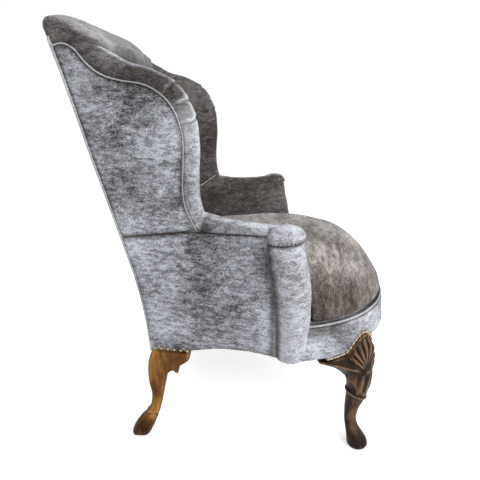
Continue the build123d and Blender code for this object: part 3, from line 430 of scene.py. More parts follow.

# Lit and shaded copies of the one velvet: their tones are painted light and shade
velvet_side = velvet("velvet_side", SILVER, DUSK)
velvet_pale = velvet("velvet_pale", PALE, DUSK)
velvet_border = velvet("velvet_border", MIST, DUSK)
velvet_welt = velvet("velvet_welt", WELT, DUSK)
velvet_inside = velvet("velvet_inside", TAUPE, DUSK)
velvet_seat = velvet("velvet_seat", SEAT, UMBER, (1, 2.0, 0.5))
leg_front = wood("leg_front", (0.004, 0.0025, 0.002), (0.024, 0.012, 0.007), (0.17, 0.088, 0.045), 0.38, 10.0)
leg_rear = wood("leg_rear", (0.01, 0.004, 0.002), (0.14, 0.054, 0.011), (0.42, 0.2, 0.05), 0.4, 5.0)
slot_finish = {
    "velvet": velvet_inside,
    "lining": plain("lining", (0.01, 0.01, 0.01), (0.03, 0.03, 0.03), (300, 300, 300), 0.9),
    "jute": plain("jute", (0.2, 0.14, 0.07), (0.4, 0.3, 0.18), (300, 300, 300), 0.95),
    "filling": plain("filling", (0.6, 0.56, 0.47), (0.85, 0.82, 0.74), (60, 60, 60), 0.95),
    "beech": plain("beech", (0.42, 0.27, 0.15), (0.66, 0.48, 0.31), (40, 40, 12), 0.6),
    "leg_wood": leg_front,
    "brass": plain("brass", (0.12, 0.08, 0.035), (0.52, 0.4, 0.21), (900, 900, 900), 0.3, 1.0),
    "steel": plain("steel", (0.3, 0.3, 0.3), (0.6, 0.6, 0.6), (90, 90, 90), 0.35, 1.0),
}
# CAD nodes that no piece stands for, such as the frame inside, get their slot's finish
for row in frame["record"]["subparts"]:
    mesh = frame["nodes"][row["node"]].data
    mesh.materials.clear()
    mesh.materials.append(slot_finish[row["material_slot"]])


# The chair's lines: back, sides, wings and arms. Flare is sideways per millimetre forwards, splay
# sideways per millimetre up. The round seat front turns about CENTRE_Y.
CENTRE_Y = -106
PAD_FOOT_Z, SEAT_Z = 352, 361
BACK_LINE = (
    (250, 235), (345, 242), (457, 259), (561, 285), (659, 310),
    (751, 334), (855, 359), (940, 381), (1000, 398),
)
BACK_X, BACK_FOOT_Z, BACK_SPLAY = 240.8, 283, 0.0303
SIDE_X, SIDE_REAR_Y, SIDE_FLARE = 243, 236, 0.1754
WING_X, WING_FLARE, WING_SPLAY = 254.1, 0.0986, 0.0473
# A distance sideways to the wing, over the one square to its plane
WING_SLANT = 1.006
PANEL_FOOT_Z, SEAM_Y, SEAM_Z, SEAM_FLARE = 250, 100, 590, 0.2134
ROLL_X, ROLL_REAR_Y, ROLL_FLARE = 246, 86, 0.396
INNER_X, INNER_REAR_Y, INNER_FLARE = 204, 100, 0.2105


def back_y(z):
    """The outside of the back."""
    return line(z, BACK_LINE)


def back_side_x(z):
    """The edge of the outside back."""
    return BACK_X + BACK_SPLAY * (z - BACK_FOOT_Z)


def side_x(y):
    """The lower edge of the side panel."""
    return SIDE_X + SIDE_FLARE * (SIDE_REAR_Y - y)


def wing_x(y, z):
    """The outside of the wing."""
    return WING_X - WING_FLARE * y + WING_SPLAY * z


def panel_x(y, z):
    """The side panel's outer face, straight between its lower and upper edge."""
    ahead = SEAM_Y - np.minimum(y, SEAM_Y)
    top = np.where(y >= SEAM_Y, wing_x(y, SEAM_Z), wing_x(SEAM_Y, SEAM_Z) + SEAM_FLARE * ahead)
    t = np.clip((z - PANEL_FOOT_Z) / (SEAM_Z - PANEL_FOOT_Z), 0, 1)
    return side_x(y) + (top - side_x(y)) * t


def roll_x(y):
    """The middle of the arm's rolled top."""
    return ROLL_X + ROLL_FLARE * (ROLL_REAR_Y - y)


def arm_inner_x(y):
    """The foot of the arm's inside face."""
    return INNER_X + INNER_FLARE * (INNER_REAR_Y - y)


def out_of_wing(x, y, z):
    """Distance out of the wing's plane."""
    return (x - wing_x(y, z)) / WING_SLANT


def seat_ring(x, y):
    """Distance from the centre of the seat's round front, and behind it from the middle line."""
    return np.hypot(x, np.minimum(y - CENTRE_Y, 0))


def puff(edge, rise, reach):
    """How far a stuffed face stands out: nothing at its edge, and nearly the rise further in."""
    return rise * (1 - np.exp(np.minimum(edge, 0) / reach))


# Wings: the pad with its rolled edge, the outside panel and the piping along its outline
WELT_LINE = curve_points(
    (
        (391, 985), (376, 990), (360, 989), (342, 978), (324, 956), (304, 938), (280, 926),
        (248, 918), (212, 913), (186, 904), (163, 888), (147, 870), (135, 848), (127, 820),
        (124, 795), (127, 735), (130, 690), (127, 655), (118, 628), (101, 592),
    ),
    4,
)
ROLL_LINE = curve_points(
    (
        (378, 968), (356, 975), (338, 977), (312, 967), (278, 947), (237, 929), (199, 919),
        (177, 910), (157, 897), (143, 884), (132, 866), (122, 838), (117, 798), (118, 740),
        (119, 690), (114, 640), (104, 606),
    ),
    4,
)
WING_BACK = ((200, 578), (285, 569), (308, 659), (332, 751), (357, 855), (378, 936))
WING_OUTLINE = np.vstack([WELT_LINE, WING_BACK])
# The wing's middle and half thickness, and the roll's middle, out of the wing's plane
WING_MIDDLE, WING_HALF, ROLL_MIDDLE = -27, 21, -23
# Folds that gather the cloth round the wing's front corner: from the welt to the roll's front
PLEATS = (((156, 893), (139, 911)), ((137, 866), (117, 876)), ((123, 830), (107, 840)))
PLEAT_RIDGE = 6


def roll_thickness(y):
    """The roll's radius, which shrinks towards the crest."""
    return 26 - 15 * ramp(332, 372, y)


def pleat_off(run, out, pleat):
    """Distance along the roll from a pleat, which hooks down towards the welt."""
    ends = np.array(pleat, float)
    _, (low, high) = near_line(ROLL_LINE, ends[:, 0], ends[:, 1])
    return run - high - (low - high) * ramp(-24, 0, out)


def wing_pad(x, y, z):
    out = out_of_wing(x, y, z)
    edge = in_outline(WING_OUTLINE, y, z)
    stuffing = np.where(out < WING_MIDDLE, puff(edge, 5, 45), 0)
    slab = smooth_max(edge, np.abs(out - WING_MIDDLE) - WING_HALF - stuffing, 10)
    gap, run = near_line(ROLL_LINE, y, z)
    thick = roll_thickness(y) + 0.9 * ripple(x, y, z, 70, 3)
    show = ramp(-62, -25, out) * ramp(4, -4, out)
    for pleat in PLEATS:
        off = pleat_off(run, out, pleat)
        thick = thick + show * (1.3 * bell((off + PLEAT_RIDGE) / 4.5) - 2.4 * bell(off / 2.8))
    roll = np.hypot(gap, (out - ROLL_MIDDLE) * 0.98) - thick
    return smooth_min(slab, roll, 9) + 0.5 * ripple(x, y, z, 45, 5)


def wing_shade(x, y, z, nx, ny, nz):
    """Painted shade on the inside, over the top, along the welt and in the pleats, with a
    painted highlight along the roll's ridge and along the pleats' ridges.
    """
    out = out_of_wing(x, y, z)
    _, run = near_line(ROLL_LINE, y, z)
    high = ramp(775, 890, z)
    inner = ramp(0.35 - 0.35 * high, -0.35, nx)
    # Painted shade over the top, lighter in a painted highlight along the roll's ridge
    top = high * (0.45 + 0.53 * ramp(0.25, 0.7, nx) - 0.3 * bell((nx - 0.05) / 0.2))
    outward = 0.25 * ramp(0.5, 0.9, nx)
    gap, _ = near_line(WELT_LINE, y, z)
    seam = bell(gap / 5) * ramp(-14, -2, out)
    show = ramp(-50, -25, out) * ramp(6, 0, out)
    # Painted shade in each pleat's crease, and a painted highlight on its ridge
    crease, ridge_highlight = 0.0, 0.0
    for pleat in PLEATS:
        off = pleat_off(run, out, pleat)
        crease = crease + show * bell(off / 2.6)
        ridge_highlight = ridge_highlight + show * bell((off + PLEAT_RIDGE) / 3)
    return np.maximum.reduce([inner, top - 0.5 * ridge_highlight, outward, seam, crease])


def wing_panel(x, y, z):
    out = out_of_wing(x, y, z)
    edge = in_outline(WING_OUTLINE, y, z)
    face = out - puff(edge, 3.0, 35) - 0.8 * ripple(x, y, z, 120, 7)
    return smooth_max(smooth_max(edge + 1.5, face, 3), -out - 22, 2)


def wing_side_shade(x, y, z, nx, ny, nz):
    """Dark along the edge, and a little towards the top."""
    edge = in_outline(WING_OUTLINE, y, z)
    return 0.95 * bell(edge / 7) + 0.22 * ramp(800, 950, z) + 0.12 * ripple(x, y, z, 150, 31)


pair(
    "left_wing",
    skin(wing_pad, (195, 60, 560), (312, 400, 1012), 2.5),
    velvet_pale,
    ["left_wing_pad"],
    shade=wing_shade,
)
pair(
    "left_wing_side",
    skin(wing_panel, (215, 80, 556), (312, 404, 1000), 3.2),
    velvet_side,
    ["left_outside_wing_panel"],
    shade=wing_side_shade,
)
wing_welt = [(wing_x(y, z) + 2.7, y, z) for y, z in WELT_LINE]
pair("left_wing_piping", tube(wing_welt, 1.7), velvet_welt, ["left_wing_welt"])

# Outside arm panels. The seam above them runs on from the wing's under the arm's rolled top. The
# knots of the seam and the swell lie along -Y, forwards.
ARM_SEAM = ((-286, 568), (-200, 578), (-100, 589), (-60, 590), (0, 593.5), (50, 597), (112, 600))
PANEL_SWELL = ((-90, 0), (-60, 2), (0, 8), (50, 15), (112, 17))
PANEL_HEM = ((239, 256), (200, 258), (150, 262), (100, 274), (60, 282), (0, 285), (-60, 279), (-112, 270))
PANEL_REAR = ((283, 560), (257, 457), (240, 345))
PANEL_OUTLINE = np.vstack(
    [curve_points(PANEL_HEM, 4), [(-ahead, z) for ahead, z in reversed(ARM_SEAM)], PANEL_REAR]
)


def arm_seam_z(y):
    """The seam between the side panel and the arm's rolled top."""
    return line(-y, ARM_SEAM)


def arm_panel(x, y, z):
    out = (x - panel_x(y, z)) * 0.99
    edge = in_outline(PANEL_OUTLINE, y, z)
    swell = puff(edge, 3.5, 40) + line(-y, PANEL_SWELL) * ramp(520, 592, z)
    face = out - swell - 0.9 * ripple(x, y, z, 130, 9)
    return smooth_max(smooth_max(edge + 1, face, 4), -out - 20, 2)


def arm_side_shade(x, y, z, nx, ny, nz):
    """Dark along the edge and beside the upright scroll."""
    edge = in_outline(PANEL_OUTLINE, y, z)
    beside = bell((y + 76) / 7)
    return 0.95 * np.maximum(bell(edge / 6.5), beside * 0.8) + 0.14 * ripple(x, y, z, 170, 33)


pair(
    "left_arm_side",
    skin(arm_panel, (210, -120, 246), (330, 300, 604), 3.2),
    velvet_side,
    ["left_outside_arm_panel"],
    shade=arm_side_shade,
)

# Arms: inside face and rolled top
ARM_TOP = (
    (-130, 620), (-90, 620), (-30, 618.5), (40, 622.5), (84, 631),
    (98, 634), (130, 616), (186, 580), (210, 566),
)
ARM_ROLL_HALF, ARM_ROLL_HIGH = 29, 27


def arm(x, y, z):
    middle = roll_x(y)
    above = z - line(y, ARM_TOP) + ARM_ROLL_HIGH
    roll = (np.hypot((x - middle) / ARM_ROLL_HALF, above / ARM_ROLL_HIGH) - 1) * ARM_ROLL_HIGH
    inner = arm_inner_x(y) + 8 * (z - SEAT_Z) / 205 + 21 * ramp(-60, -108, y)
    inner = inner + (middle - ARM_ROLL_HALF - inner) * ramp(540, 610, z) - 4 * hump(z - SEAT_Z, 220)
    outer = panel_x(y, z) - 6
    slab = smooth_max(smooth_max(inner - x, x - outer, 6), np.maximum(above, PAD_FOOT_Z - z), 6)
    body = smooth_min(slab, roll, 10)
    body = smooth_max(body, np.maximum(-112 - y, y - 205), 10)
    past_seam = np.minimum(x - outer, arm_seam_z(y) - z)
    return smooth_max(body, past_seam, 3) + 0.7 * ripple(x, y, z, 60, 11)


def arm_shade(x, y, z, nx, ny, nz):
    """Dark inside, under the seam, beside the scroll and in the fold by the wing."""
    inner = ramp(0.25, -0.5, nx)
    outward = 0.45 * ramp(0.35, 0.85, nx)
    seam = bell((z - arm_seam_z(y)) / 5) * ramp(0.2, 0.6, nx)
    beside = 0.85 * ramp(-56, -64, y) * ramp(0.25, 0.6, nx)
    fold = 0.85 * ramp(30, 80, y) * ramp(624, 606, z) * ramp(0.1, 0.5, nx)
    return np.maximum.reduce([inner, outward, seam, beside, fold])


def inner_face_x(y, z):
    """Where a line out from the chair's middle first meets the arm or the wing."""
    x = np.linspace(180, 300, 241)
    y, z = np.full_like(x, y), np.full_like(x, z)
    return x[np.argmax(np.minimum(arm(x, y, z), wing_pad(x, y, z)) < 0)]


pair(
    "left_arm",
    skin(arm, (175, -116, 346), (345, 210, 652), 3.4),
    velvet_pale,
    ["left_arm_pad"],
    shade=arm_shade,
)
# The piped seam inside, where the wing runs down into the arm
seam_places = zip(np.linspace(98, 186, 26), np.linspace(633, 576, 26))
inner_seam = [(inner_face_x(y, z) - 0.3, y, z) for y, z in seam_places]
pair("left_inner_piping", tube(inner_seam, 1.6), velvet_welt)

# Upright scroll at the arm's front, as (height, x, y, radius), and its gathered cap
SCROLL = (
    (262, 290, -121, 31),
    (281, 292, -121, 35.5),
    (330, 297, -122, 38),
    (381, 302, -123, 40.5),
    (456, 312, -118, 45),
    (516, 320, -108, 46),
    (580, 330, -99, 42.5),
    (596, 331, -98, 41.5),
)
SCROLL_X, SCROLL_Y, SCROLL_RADIUS = stations(SCROLL)
SCROLL_FOOT_Z, SCROLL_TOP_Z = 274, 589
CAP_X, CAP_Y, CAP_FOOT_Z, CAP_MIDDLE_Z = 331, -98, 590.5, 594
CAP_WIDE, CAP_HIGH = 43, 30
GATHERS = 30
# The scroll's sewn seam, as a turn from +X
SEAM_TURN = -1.75


def cap_lift(y):
    """The cap's seam rises towards the front."""
    return 0.12 * (CAP_Y - y)


def scroll(x, y, z):
    cx, cy, r = line(z, SCROLL_X), line(z, SCROLL_Y), line(z, SCROLL_RADIUS)
    turn = np.arctan2(y - cy, x - cx)
    seam = 1.6 * bell((turn - SEAM_TURN) * r / 2.5)
    crease = 0.5 * np.sin(z / 5.5 + 1.2 * np.sin(2 * turn))
    crease = crease * ramp(470, 585, z) * ramp(-0.6, 0.6, np.sin(turn - 0.6))
    side = np.hypot(x - cx, y - cy) - r + seam + crease + 0.8 * ripple(x, y, z, 55, 13)
    return smooth_max(smooth_max(side, SCROLL_FOOT_Z - z, 8), z - cap_lift(y) - SCROLL_TOP_Z, 5)


def cap(x, y, z):
    turn = np.arctan2(y - CAP_Y, x - CAP_X)
    flat = np.hypot(x - CAP_X, y - CAP_Y)
    z = z - cap_lift(y)
    gather = 1.3 * np.cos(GATHERS * turn) * np.exp(-np.abs(z - 592) / 7)
    gather = gather * ramp(-0.2, 0.8, -np.sin(turn - 0.3))
    crown = (np.hypot(flat / CAP_WIDE, np.maximum(z - CAP_MIDDLE_Z, 0) / CAP_HIGH) - 1) * 31
    return smooth_max(crown + gather + 0.6 * ripple(x, y, z, 40, 15), CAP_FOOT_Z - z, 4)


def scroll_shade(x, y, z, nx, ny, nz):
    """Dark to the rear and inside, under the cap and in the seam."""
    edge = np.maximum(ramp(0.55, 0.9, ny), ramp(0.15, -0.4, nx))
    seam = bell((np.arctan2(ny, nx) - SEAM_TURN) / 0.06)
    return np.maximum.reduce([edge, 0.9 * ramp(581, 590, z - cap_lift(y)), 0.8 * seam])


def cap_shade(x, y, z, nx, ny, nz):
    """Dark inside, to the rear and between the gathers."""
    gathers = np.cos(GATHERS * np.arctan2(y - CAP_Y, x - CAP_X))
    # Painted shade along the gathered seam at the cap's foot, darkest in the folds between the gathers
    gather_seam_shade = bell((z - cap_lift(y) - 593) / 4) * (0.6 + 0.4 * gathers)
    return np.maximum.reduce([ramp(0.15, -0.5, nx), gather_seam_shade, 0.7 * ramp(0.5, 0.9, ny)])


pair(
    "left_scroll",
    skin(scroll, (248, -170, 258), (374, -44, 596), 2.8),
    velvet_pale,
    ["left_arm_scroll"],
    shade=scroll_shade,
)
pair(
    "left_scroll_cap",
    skin(cap, (280, -148, 584), (380, -48, 632), 2.0),
    velvet_pale,
    ["left_arm_cap"],
    shade=cap_shade,
)

# Back: inside pad that rolls over the crest, outside panel and the edge strips
BACK_HALF, CREST_HALF = 240, 262
CREST_Y, CREST_Z = 350, 1000


def back_pad(x, y, z):
    across = np.abs(x)
    crown = 16 * arch(x, BACK_HALF)
    front = 165 + (z - SEAT_Z) * 0.207 - crown - 12 * hump(z - SEAT_Z, 640)
    slab = smooth_max(front - y, y - back_y(z) + 6, 6)
    slab = smooth_max(slab, np.maximum(z - CREST_Z, PAD_FOOT_Z - z), 6)
    end = ramp(190, CREST_HALF, across)
    behind = (y - CREST_Y - 9 * end - 0.72 * (z - CREST_Z)) / (51 - 9 * end)
    above = (z - CREST_Z - 1 + 10 * end) / 54
    crest = (np.hypot(behind, above) - 1) * 46
    body = smooth_min(slab, crest, 16)
    reach = wing_x(y, z) - 20
    reach = reach + (CREST_HALF - reach) * ramp(968, 996, z)
    return smooth_max(body, across - reach, 16) + 0.9 * ripple(x, y, z, 80, 17)


def back_shade(x, y, z, nx, ny, nz):
    """Dark but for the top of the crest, with a crease beside the wing's roll."""
    top = ramp(960, 1000, z) * (0.25 + 0.75 * ramp(-0.2, 0.7, nz)) * (1 - 0.5 * ramp(0.4, 0.9, nx))
    gap, _ = near_line(ROLL_LINE, y, z)
    crease = ramp(13, 4, gap - roll_thickness(y)) * ramp(215, 235, x)
    return np.maximum(1 - top, 0.95 * crease)


def back_panel(x, y, z):
    out = y - back_y(z)
    face = out - 1.5 - 3 * arch(x, BACK_HALF) ** 0.5
    slab = smooth_max(smooth_max(face, -out - 5.5, 3), np.abs(x) - back_side_x(z) - 1, 5)
    return smooth_max(slab, np.maximum(z - 1006, 257 - z), 4)


piece(
    "inside_back",
    skin(back_pad, (-272, 130, 346), (272, 424, 1058), 4.2),
    velvet_inside,
    ["inside_back_pad", "back_webbing"],
    shade=back_shade,
)
piece(
    "outside_back",
    skin(back_panel, (-272, 222, 252), (272, 410, 1012), 4.0),
    velvet_side,
    ["outside_back_panel"],
)
edge_z = np.linspace(258, 1004, 60)
edge = np.stack([back_side_x(edge_z) + 2.5, back_y(edge_z) - 2, edge_z], 1)
strips = both_sides(tube(edge, 2.6))
piece("outside_back_piping", strips, velvet_welt, ["outside_back_welts"])

# Seat: border, its welt, deck and dust cover. The welt and the cushion's rim share a ring.
BORDER_FACE = (
    (262, 306), (283, 308), (300, 306.5), (315, 304.5), (330, 302.5),
    (345, 301), (354, 299), (360, 294), (366, 288),
)
BORDER_INSIDE, BORDER_HEM_Z, BORDER_TOP_Z, BORDER_REAR_Y = 276, 268, 358, -126
RIM = 297


def border(x, y, z):
    ring = seat_ring(x, y)
    face = ring - line(z, BORDER_FACE) - 0.7 * ripple(x, y, z, 60, 19)
    wall = smooth_max(face, BORDER_INSIDE - ring, 4)
    turn = np.arctan2(CENTRE_Y - y, np.abs(x))
    hem = BORDER_HEM_Z + 14 * ramp(math.radians(35), math.radians(46), turn)
    wall = smooth_max(wall, np.maximum(z - BORDER_TOP_Z, hem - z), 5)
    return smooth_max(wall, y - BORDER_REAR_Y, 4)


def border_shade(x, y, z, nx, ny, nz):
    """Dark under the welt and beside the scroll."""
    beside = 0.65 * ramp(-330, -220, y) * ramp(308, 345, z)
    return np.maximum(beside, 0.95 * ramp(348, 354, z)) + 0.15 * ripple(x, y, z, 90, 35)


def seat_plan(x, y, front, half, taper, taper_y, rear):
    """A plan with a round front, and sides that draw in towards the rear."""
    plan = smooth_max(seat_ring(x, y) - front, np.abs(x) - half + taper * (y - taper_y), 4)
    return smooth_max(plan, y - rear, 4)


def deck(x, y, z):
    plan = seat_plan(x, y, front=284, half=262, taper=0.2, taper_y=CENTRE_Y, rear=150)
    sag = 2.0 * arch(x, 260)
    return smooth_max(plan, np.abs(z - 356.5 + sag) - 4, 3)


def dust(x, y, z):
    plan = seat_plan(x, y, front=286, half=272, taper=0.17, taper_y=-40, rear=196)
    return smooth_max(plan, np.abs(z - 281.5) - 2.2, 1)


piece(
    "seat_border",
    skin(border, (-318, -424, 262), (316, -116, 364), 3.4),
    velvet_border,
    ["front_border"],
    shade=border_shade,
)
turns = np.linspace(math.radians(184), math.radians(356), 90)
seat_welt = [(RIM * math.cos(t), CENTRE_Y + RIM * math.sin(t), BORDER_TOP_Z) for t in turns]
piece("seat_border_piping", tube(seat_welt, 2.7), velvet_welt, ["front_border_welt"])
piece(
    "seat_deck",
    skin(deck, (-292, -396, 344), (292, 156, 366), 4.0),
    velvet_inside,
    ["seat_deck_pad", "seat_hessian"],
)
piece(
    "under_cloth",
    skin(dust, (-292, -396, 274), (292, 202, 288), 4.0),
    slot_finish["lining"],
    ["dust_cover"],
)

# Loose cushion: a crowned top on a T-shaped plan
CUSHION_TOP = (
    (0, 538), (58, 538), (116, 535), (163, 526), (197, 508), (222, 487),
    (243, 464), (261, 440), (278, 412), (291, 387), (297, 366),
)
CUSHION_FOOT_Z = 368
half_plan = [(0, 149), (176, 149), (190, 136)]
half_plan += [(arm_inner_x(y) - 2.5, y) for y in (100, 50, 0, -50, -100, -140)]
half_plan += [(256, -160), (266, -170), (281, -174)]
half_plan += [(RIM * math.cos(t), CENTRE_Y - RIM * math.sin(t)) for t in np.linspace(0.26, math.pi / 2, 24)]
PLAN = np.array(half_plan + [(-x, y) for x, y in reversed(half_plan[1:-1])])


def cushion(x, y, z):
    edge = in_outline(PLAN, x, y)
    tuck = 4 * ramp(380, 366, z)
    dip = 5 * bell(np.hypot(x / 170, (y + 90) / 150))
    dome = (z - line(seat_ring(x, y), CUSHION_TOP) + dip) * 0.72
    rear = 34 * ramp(-90, 150, y)
    dome = smooth_max(dome, z - 530 + rear, 18)
    wall = edge + tuck + ripple(x, y, z, 55, 21)
    body = smooth_max(smooth_max(dome, wall, 14), CUSHION_FOOT_Z - z, 5)
    return body + 1.2 * ripple(x, y, z, 110, 23) * ramp(400, 470, z)


def cushion_shade(x, y, z, nx, ny, nz):
    """Darker down its sides, and dark at the foot."""
    low = ramp(505, 400, z) * (0.55 + 0.45 * ramp(-400, -250, y))
    return np.maximum(low + 0.1 * ripple(x, y, z, 90, 37), ramp(374, 369, z))


piece(
    "loose_cushion",
    skin(cushion, (-304, -410, 356), (304, 156, 552), 4.0),
    velvet_seat,
    ["cushion_cover", "cushion_filling"],
    CUSHION,
    shade=cushion_shade,
)

# Front legs: pad foot, ankle, collar, carved shell on the knee and scrolled ears. The shaft is
# given as (height, x, y, radius).
FRONT_LEG = (
    (0, 278, -310, 20),
    (6, 278, -310, 25.5),
    (20, 277, -308.5, 26.5),
    (36, 273, -302.5, 22.5),
    (52, 268, -295.5, 18),
    (72, 263, -290.5, 15.8),
    (92, 261, -290.5, 16.6),
    (113, 260, -293, 19.4),
    (132, 260.5, -297, 23),
    (153, 262, -300, 26),
    (180, 264, -302, 29),
    (216, 266, -301, 32),
    (240, 264, -299, 33),
    (256, 256, -295, 30),
    (270, 246, -290, 22),
    (283, 238, -285, 10),
)
LEG_X, LEG_Y, LEG_RADIUS = stations(FRONT_LEG)
SHAFT_TOP_Z = 283
# The knee's turn from +X towards the front, and the ring on which places across it are measured
LEG_TURN, KNEE_RING = math.radians(42), 310
# The line of nails along the border's lower edge, as (place along the border, height): it rises
# over the knee. The wood below it ends in a long ear at the side and is short in front.
HEM = (
    (-114, 266.5), (-94, 267), (-74, 268.5), (-57, 271.5), (-46.5, 281), (-37, 290), (-26, 297.5),
    (-14, 304), (0, 308), (13, 306), (23, 301), (31, 293), (41, 287),
)
EAR_TOP = [(-138, 264)] + [(aside, z - 5) for aside, z in HEM]
EAR_FRONT = [(34, 272), (27, 254), (24, 230), (22, 200)]
EAR_FOOT = ((0, 176), (-40, 190), (-54, 205), (-66, 217), (-78, 226), (-95, 240), (-118, 252), (-140, 262))
EAR_OUTLINE = np.vstack([curve_points(EAR_TOP + EAR_FRONT, 3), curve_points(EAR_FOOT, 3)])
C_SCROLL = curve_points(((46, 222), (36, 216), (24, 205), (15, 190), (12, 172), (15, 160)), 3)
HOLLOW_EDGE = ((160, 15), (172, 12), (190, 15), (205, 24), (217, 38), (226, 52))
KNEE_FACE, KNEE_BACK = 314, 286
KNEE_SWELL = ((176, 12), (200, 20), (224, 33), (240, 36), (262, 31), (283, 22), (300, 13), (312, 5), (320, 0))
CARVING_LEAN = ((160, 36), (200, 38), (237, 35), (260, 24), (290, 8), (308, 0))
BEAD_Z = 237
SHELL_TURN = 0.95


def knee(x, y, z):
    """Places on the carved front of the leg: out, across the carving, in the outline, and round
    and away from the bead."""
    ring = np.hypot(x, y - CENTRE_Y)
    aside = (np.arctan2(CENTRE_Y - y, x) - LEG_TURN) * KNEE_RING
    ear = in_outline(EAR_OUTLINE, aside, z)
    aside = aside + line(z, CARVING_LEAN)
    return ring, aside, ear, np.arctan2(aside, z - BEAD_Z), np.hypot(aside, z - BEAD_Z)


def on_front(ring):
    """1 where the wood faces out of the seat's round front, 0 further in."""
    return ramp(300, 316, ring)


def flutes(ear, fan, reach):
    """The shell's grooves, from 0 on its ridges to 1 in its hollows, and where the shell is."""
    inside = ramp(-2, -8, ear) * ramp(10, 24, reach) * ramp(SHELL_TURN, 0.85, np.abs(fan))
    return inside * (1 - np.abs(np.cos(fan * 10.5))) ** 1.2, inside


def scroll_hollow(aside, z):
    """The sunk side of the leg behind its scroll."""
    return ramp(0, 6, -aside - line(z, HOLLOW_EDGE)) * ramp(164, 172, z) * ramp(224, 212, z)


def collar_z(y):
    """The collar below the knee slopes down towards the front."""
    return 154 + 0.36 * (y + 302)


def front_leg(x, y, z):
    cx, cy, r = line(z, LEG_X), line(z, LEG_Y), line(z, LEG_RADIUS)
    shaft = np.hypot(x - cx, y - cy) - r
    ring, aside, ear, fan, reach = knee(x, y, z)
    face = KNEE_FACE + line(z, KNEE_SWELL) * ramp(2, -26, ear)
    plate = smooth_max(smooth_max(ear, ring - face, 4), KNEE_BACK - ring, 3)
    body = smooth_min(smooth_max(shaft, z - SHAFT_TOP_Z, 6), plate, 9)
    # Carving: a fluted shell with a rim over a bead, a husk below, and a scroll at the outer side
    front = on_front(ring)
    groove, inside = flutes(ear, fan, reach)
    body = body + front * (4.6 * groove - 1.2 * inside)
    rim = bell((np.abs(fan) - SHELL_TURN) * np.maximum(reach, 10) / 3.0)
    rim = rim * ramp(8, 20, reach) * ramp(0, -6, ear) * ramp(BEAD_Z + 2, BEAD_Z + 14, z)
    body = body - 2.0 * front * rim
    body = body - 3.0 * front * bell(reach / 4.5)
    husk = ramp(166, 178, z) * ramp(233, 223, z) * ramp(-20, -11, aside) * ramp(50, 42, aside)
    body = body + front * husk * 1.8 * np.cos(aside / 2.6)
    body = body + 2.6 * front * scroll_hollow(aside, z)
    scroll_gap, _ = near_line(C_SCROLL, -aside, z)
    body = body - 1.6 * front * bell(scroll_gap / 2.6)
    collar = np.hypot(shaft, (z - collar_z(y)) * 0.85) - 3.8
    body = smooth_min(body, collar, 2.0)
    # Above the border's hem, wood lies only in front of the border
    body = smooth_max(body, np.where(z > BORDER_HEM_Z, 300 - ring, -1e3), 1.0)
    return smooth_max(body, -z, 2)


def front_leg_shade(x, y, z, nx, ny, nz):
    """Painted shade in the carving, over the collar, on undersides, on the shank's front and rear
    faces, and towards the foot.
    """
    ring, aside, ear, fan, reach = knee(x, y, z)
    groove, inside = flutes(ear, fan, reach)
    carving = np.maximum(1.2 * groove * on_front(ring), 0.9 * scroll_hollow(aside, z))
    plate = 0.4 * (1 - inside) * ramp(200, 225, z)
    collar = bell((z - collar_z(y) - 7) / 3.5) * ramp(140, 150, z) * ramp(185, 175, z)
    under = ramp(-0.1, -0.6, nz)
    foot = 0.6 * ramp(60, 20, z)
    # Painted shade on the shank's front and rear faces
    sides = 0.7 * np.maximum(ramp(0.3, 0.9, ny), ramp(-0.5, -0.95, ny)) * ramp(165, 150, z)
    return np.maximum.reduce([carving, plate, collar, under, foot, sides])


pair(
    "front_left_carved_leg",
    skin(front_leg, (128, -392, -3), (326, -176, 326), 2.0),
    leg_front,
    ["front_left_leg"],
    shade=front_leg_shade,
)

# Rear legs: flat-sided, with a scrolled ear in front
REAR_BACK = (
    (230, 262), (242, 232), (247, 202), (246, 160), (241, 124),
    (247, 84), (272, 57), (294, 24), (296, 8), (288, 0),
)
REAR_FRONT = (
    (262, 0), (250, 8), (226, 57), (212, 109), (201.5, 160), (195, 186), (184, 199), (176, 200),
    (172, 194), (165, 194), (166, 206), (160, 217), (146, 228), (134, 240), (131, 256), (134, 262),
)
REAR_SIDE = np.vstack([curve_points(REAR_BACK, 4), curve_points(REAR_FRONT, 4)])
REAR_MIDDLE = ((0, 250), (22, 249), (50, 244), (80, 239), (115, 233), (150, 231), (190, 230), (262, 229))
REAR_HALF = ((0, 20), (10, 24), (24, 25), (50, 20), (80, 15), (115, 14), (150, 17), (190, 20), (262, 20))


def rear_leg(x, y, z):
    side = in_outline(REAR_SIDE, y, z)
    middle = line(z, REAR_MIDDLE) + 0.17 * (213 - y) * ramp(150, 220, z)
    out = np.abs(x - middle) - line(z, REAR_HALF)
    body = smooth_max(side, out, np.where(z < 70, 22, 9))
    return smooth_max(body, -z, 2)


def rear_leg_shade(x, y, z, nx, ny, nz):
    """Dark to the front and rear, on undersides, and towards the foot and the top."""
    edge = 0.75 * np.maximum(ramp(0.2, 0.9, ny), ramp(-0.3, -0.9, ny))
    foot = 0.9 * ramp(75, 35, z)
    under = ramp(0.2, -0.6, nz)
    top = 0.6 * ramp(250, 262, z)
    return np.maximum.reduce([edge, foot, under, top])


pair(
    "rear_left_cabriole_leg",
    skin(rear_leg, (198, 122, -3), (284, 302, 268), 2.4),
    leg_rear,
    ["rear_left_leg"],
    shade=rear_leg_shade,
)
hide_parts("rear_knee_blocks")
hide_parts("front_knee_blocks")

# Brass nails and the narrow gimp under them: along the hem of each knee, and over the rear legs
NAIL, NAIL_SIDES = 4.6, 12
NAIL_RINGS = ((0.45, 0.72), (0.8, 0.48), (1.0, 0.1), (1.0, -0.3))
REAR_NAILS, REAR_NAIL_Y, REAR_NAIL_Z, NAIL_SPACING = 6, 222, 269.5, 17


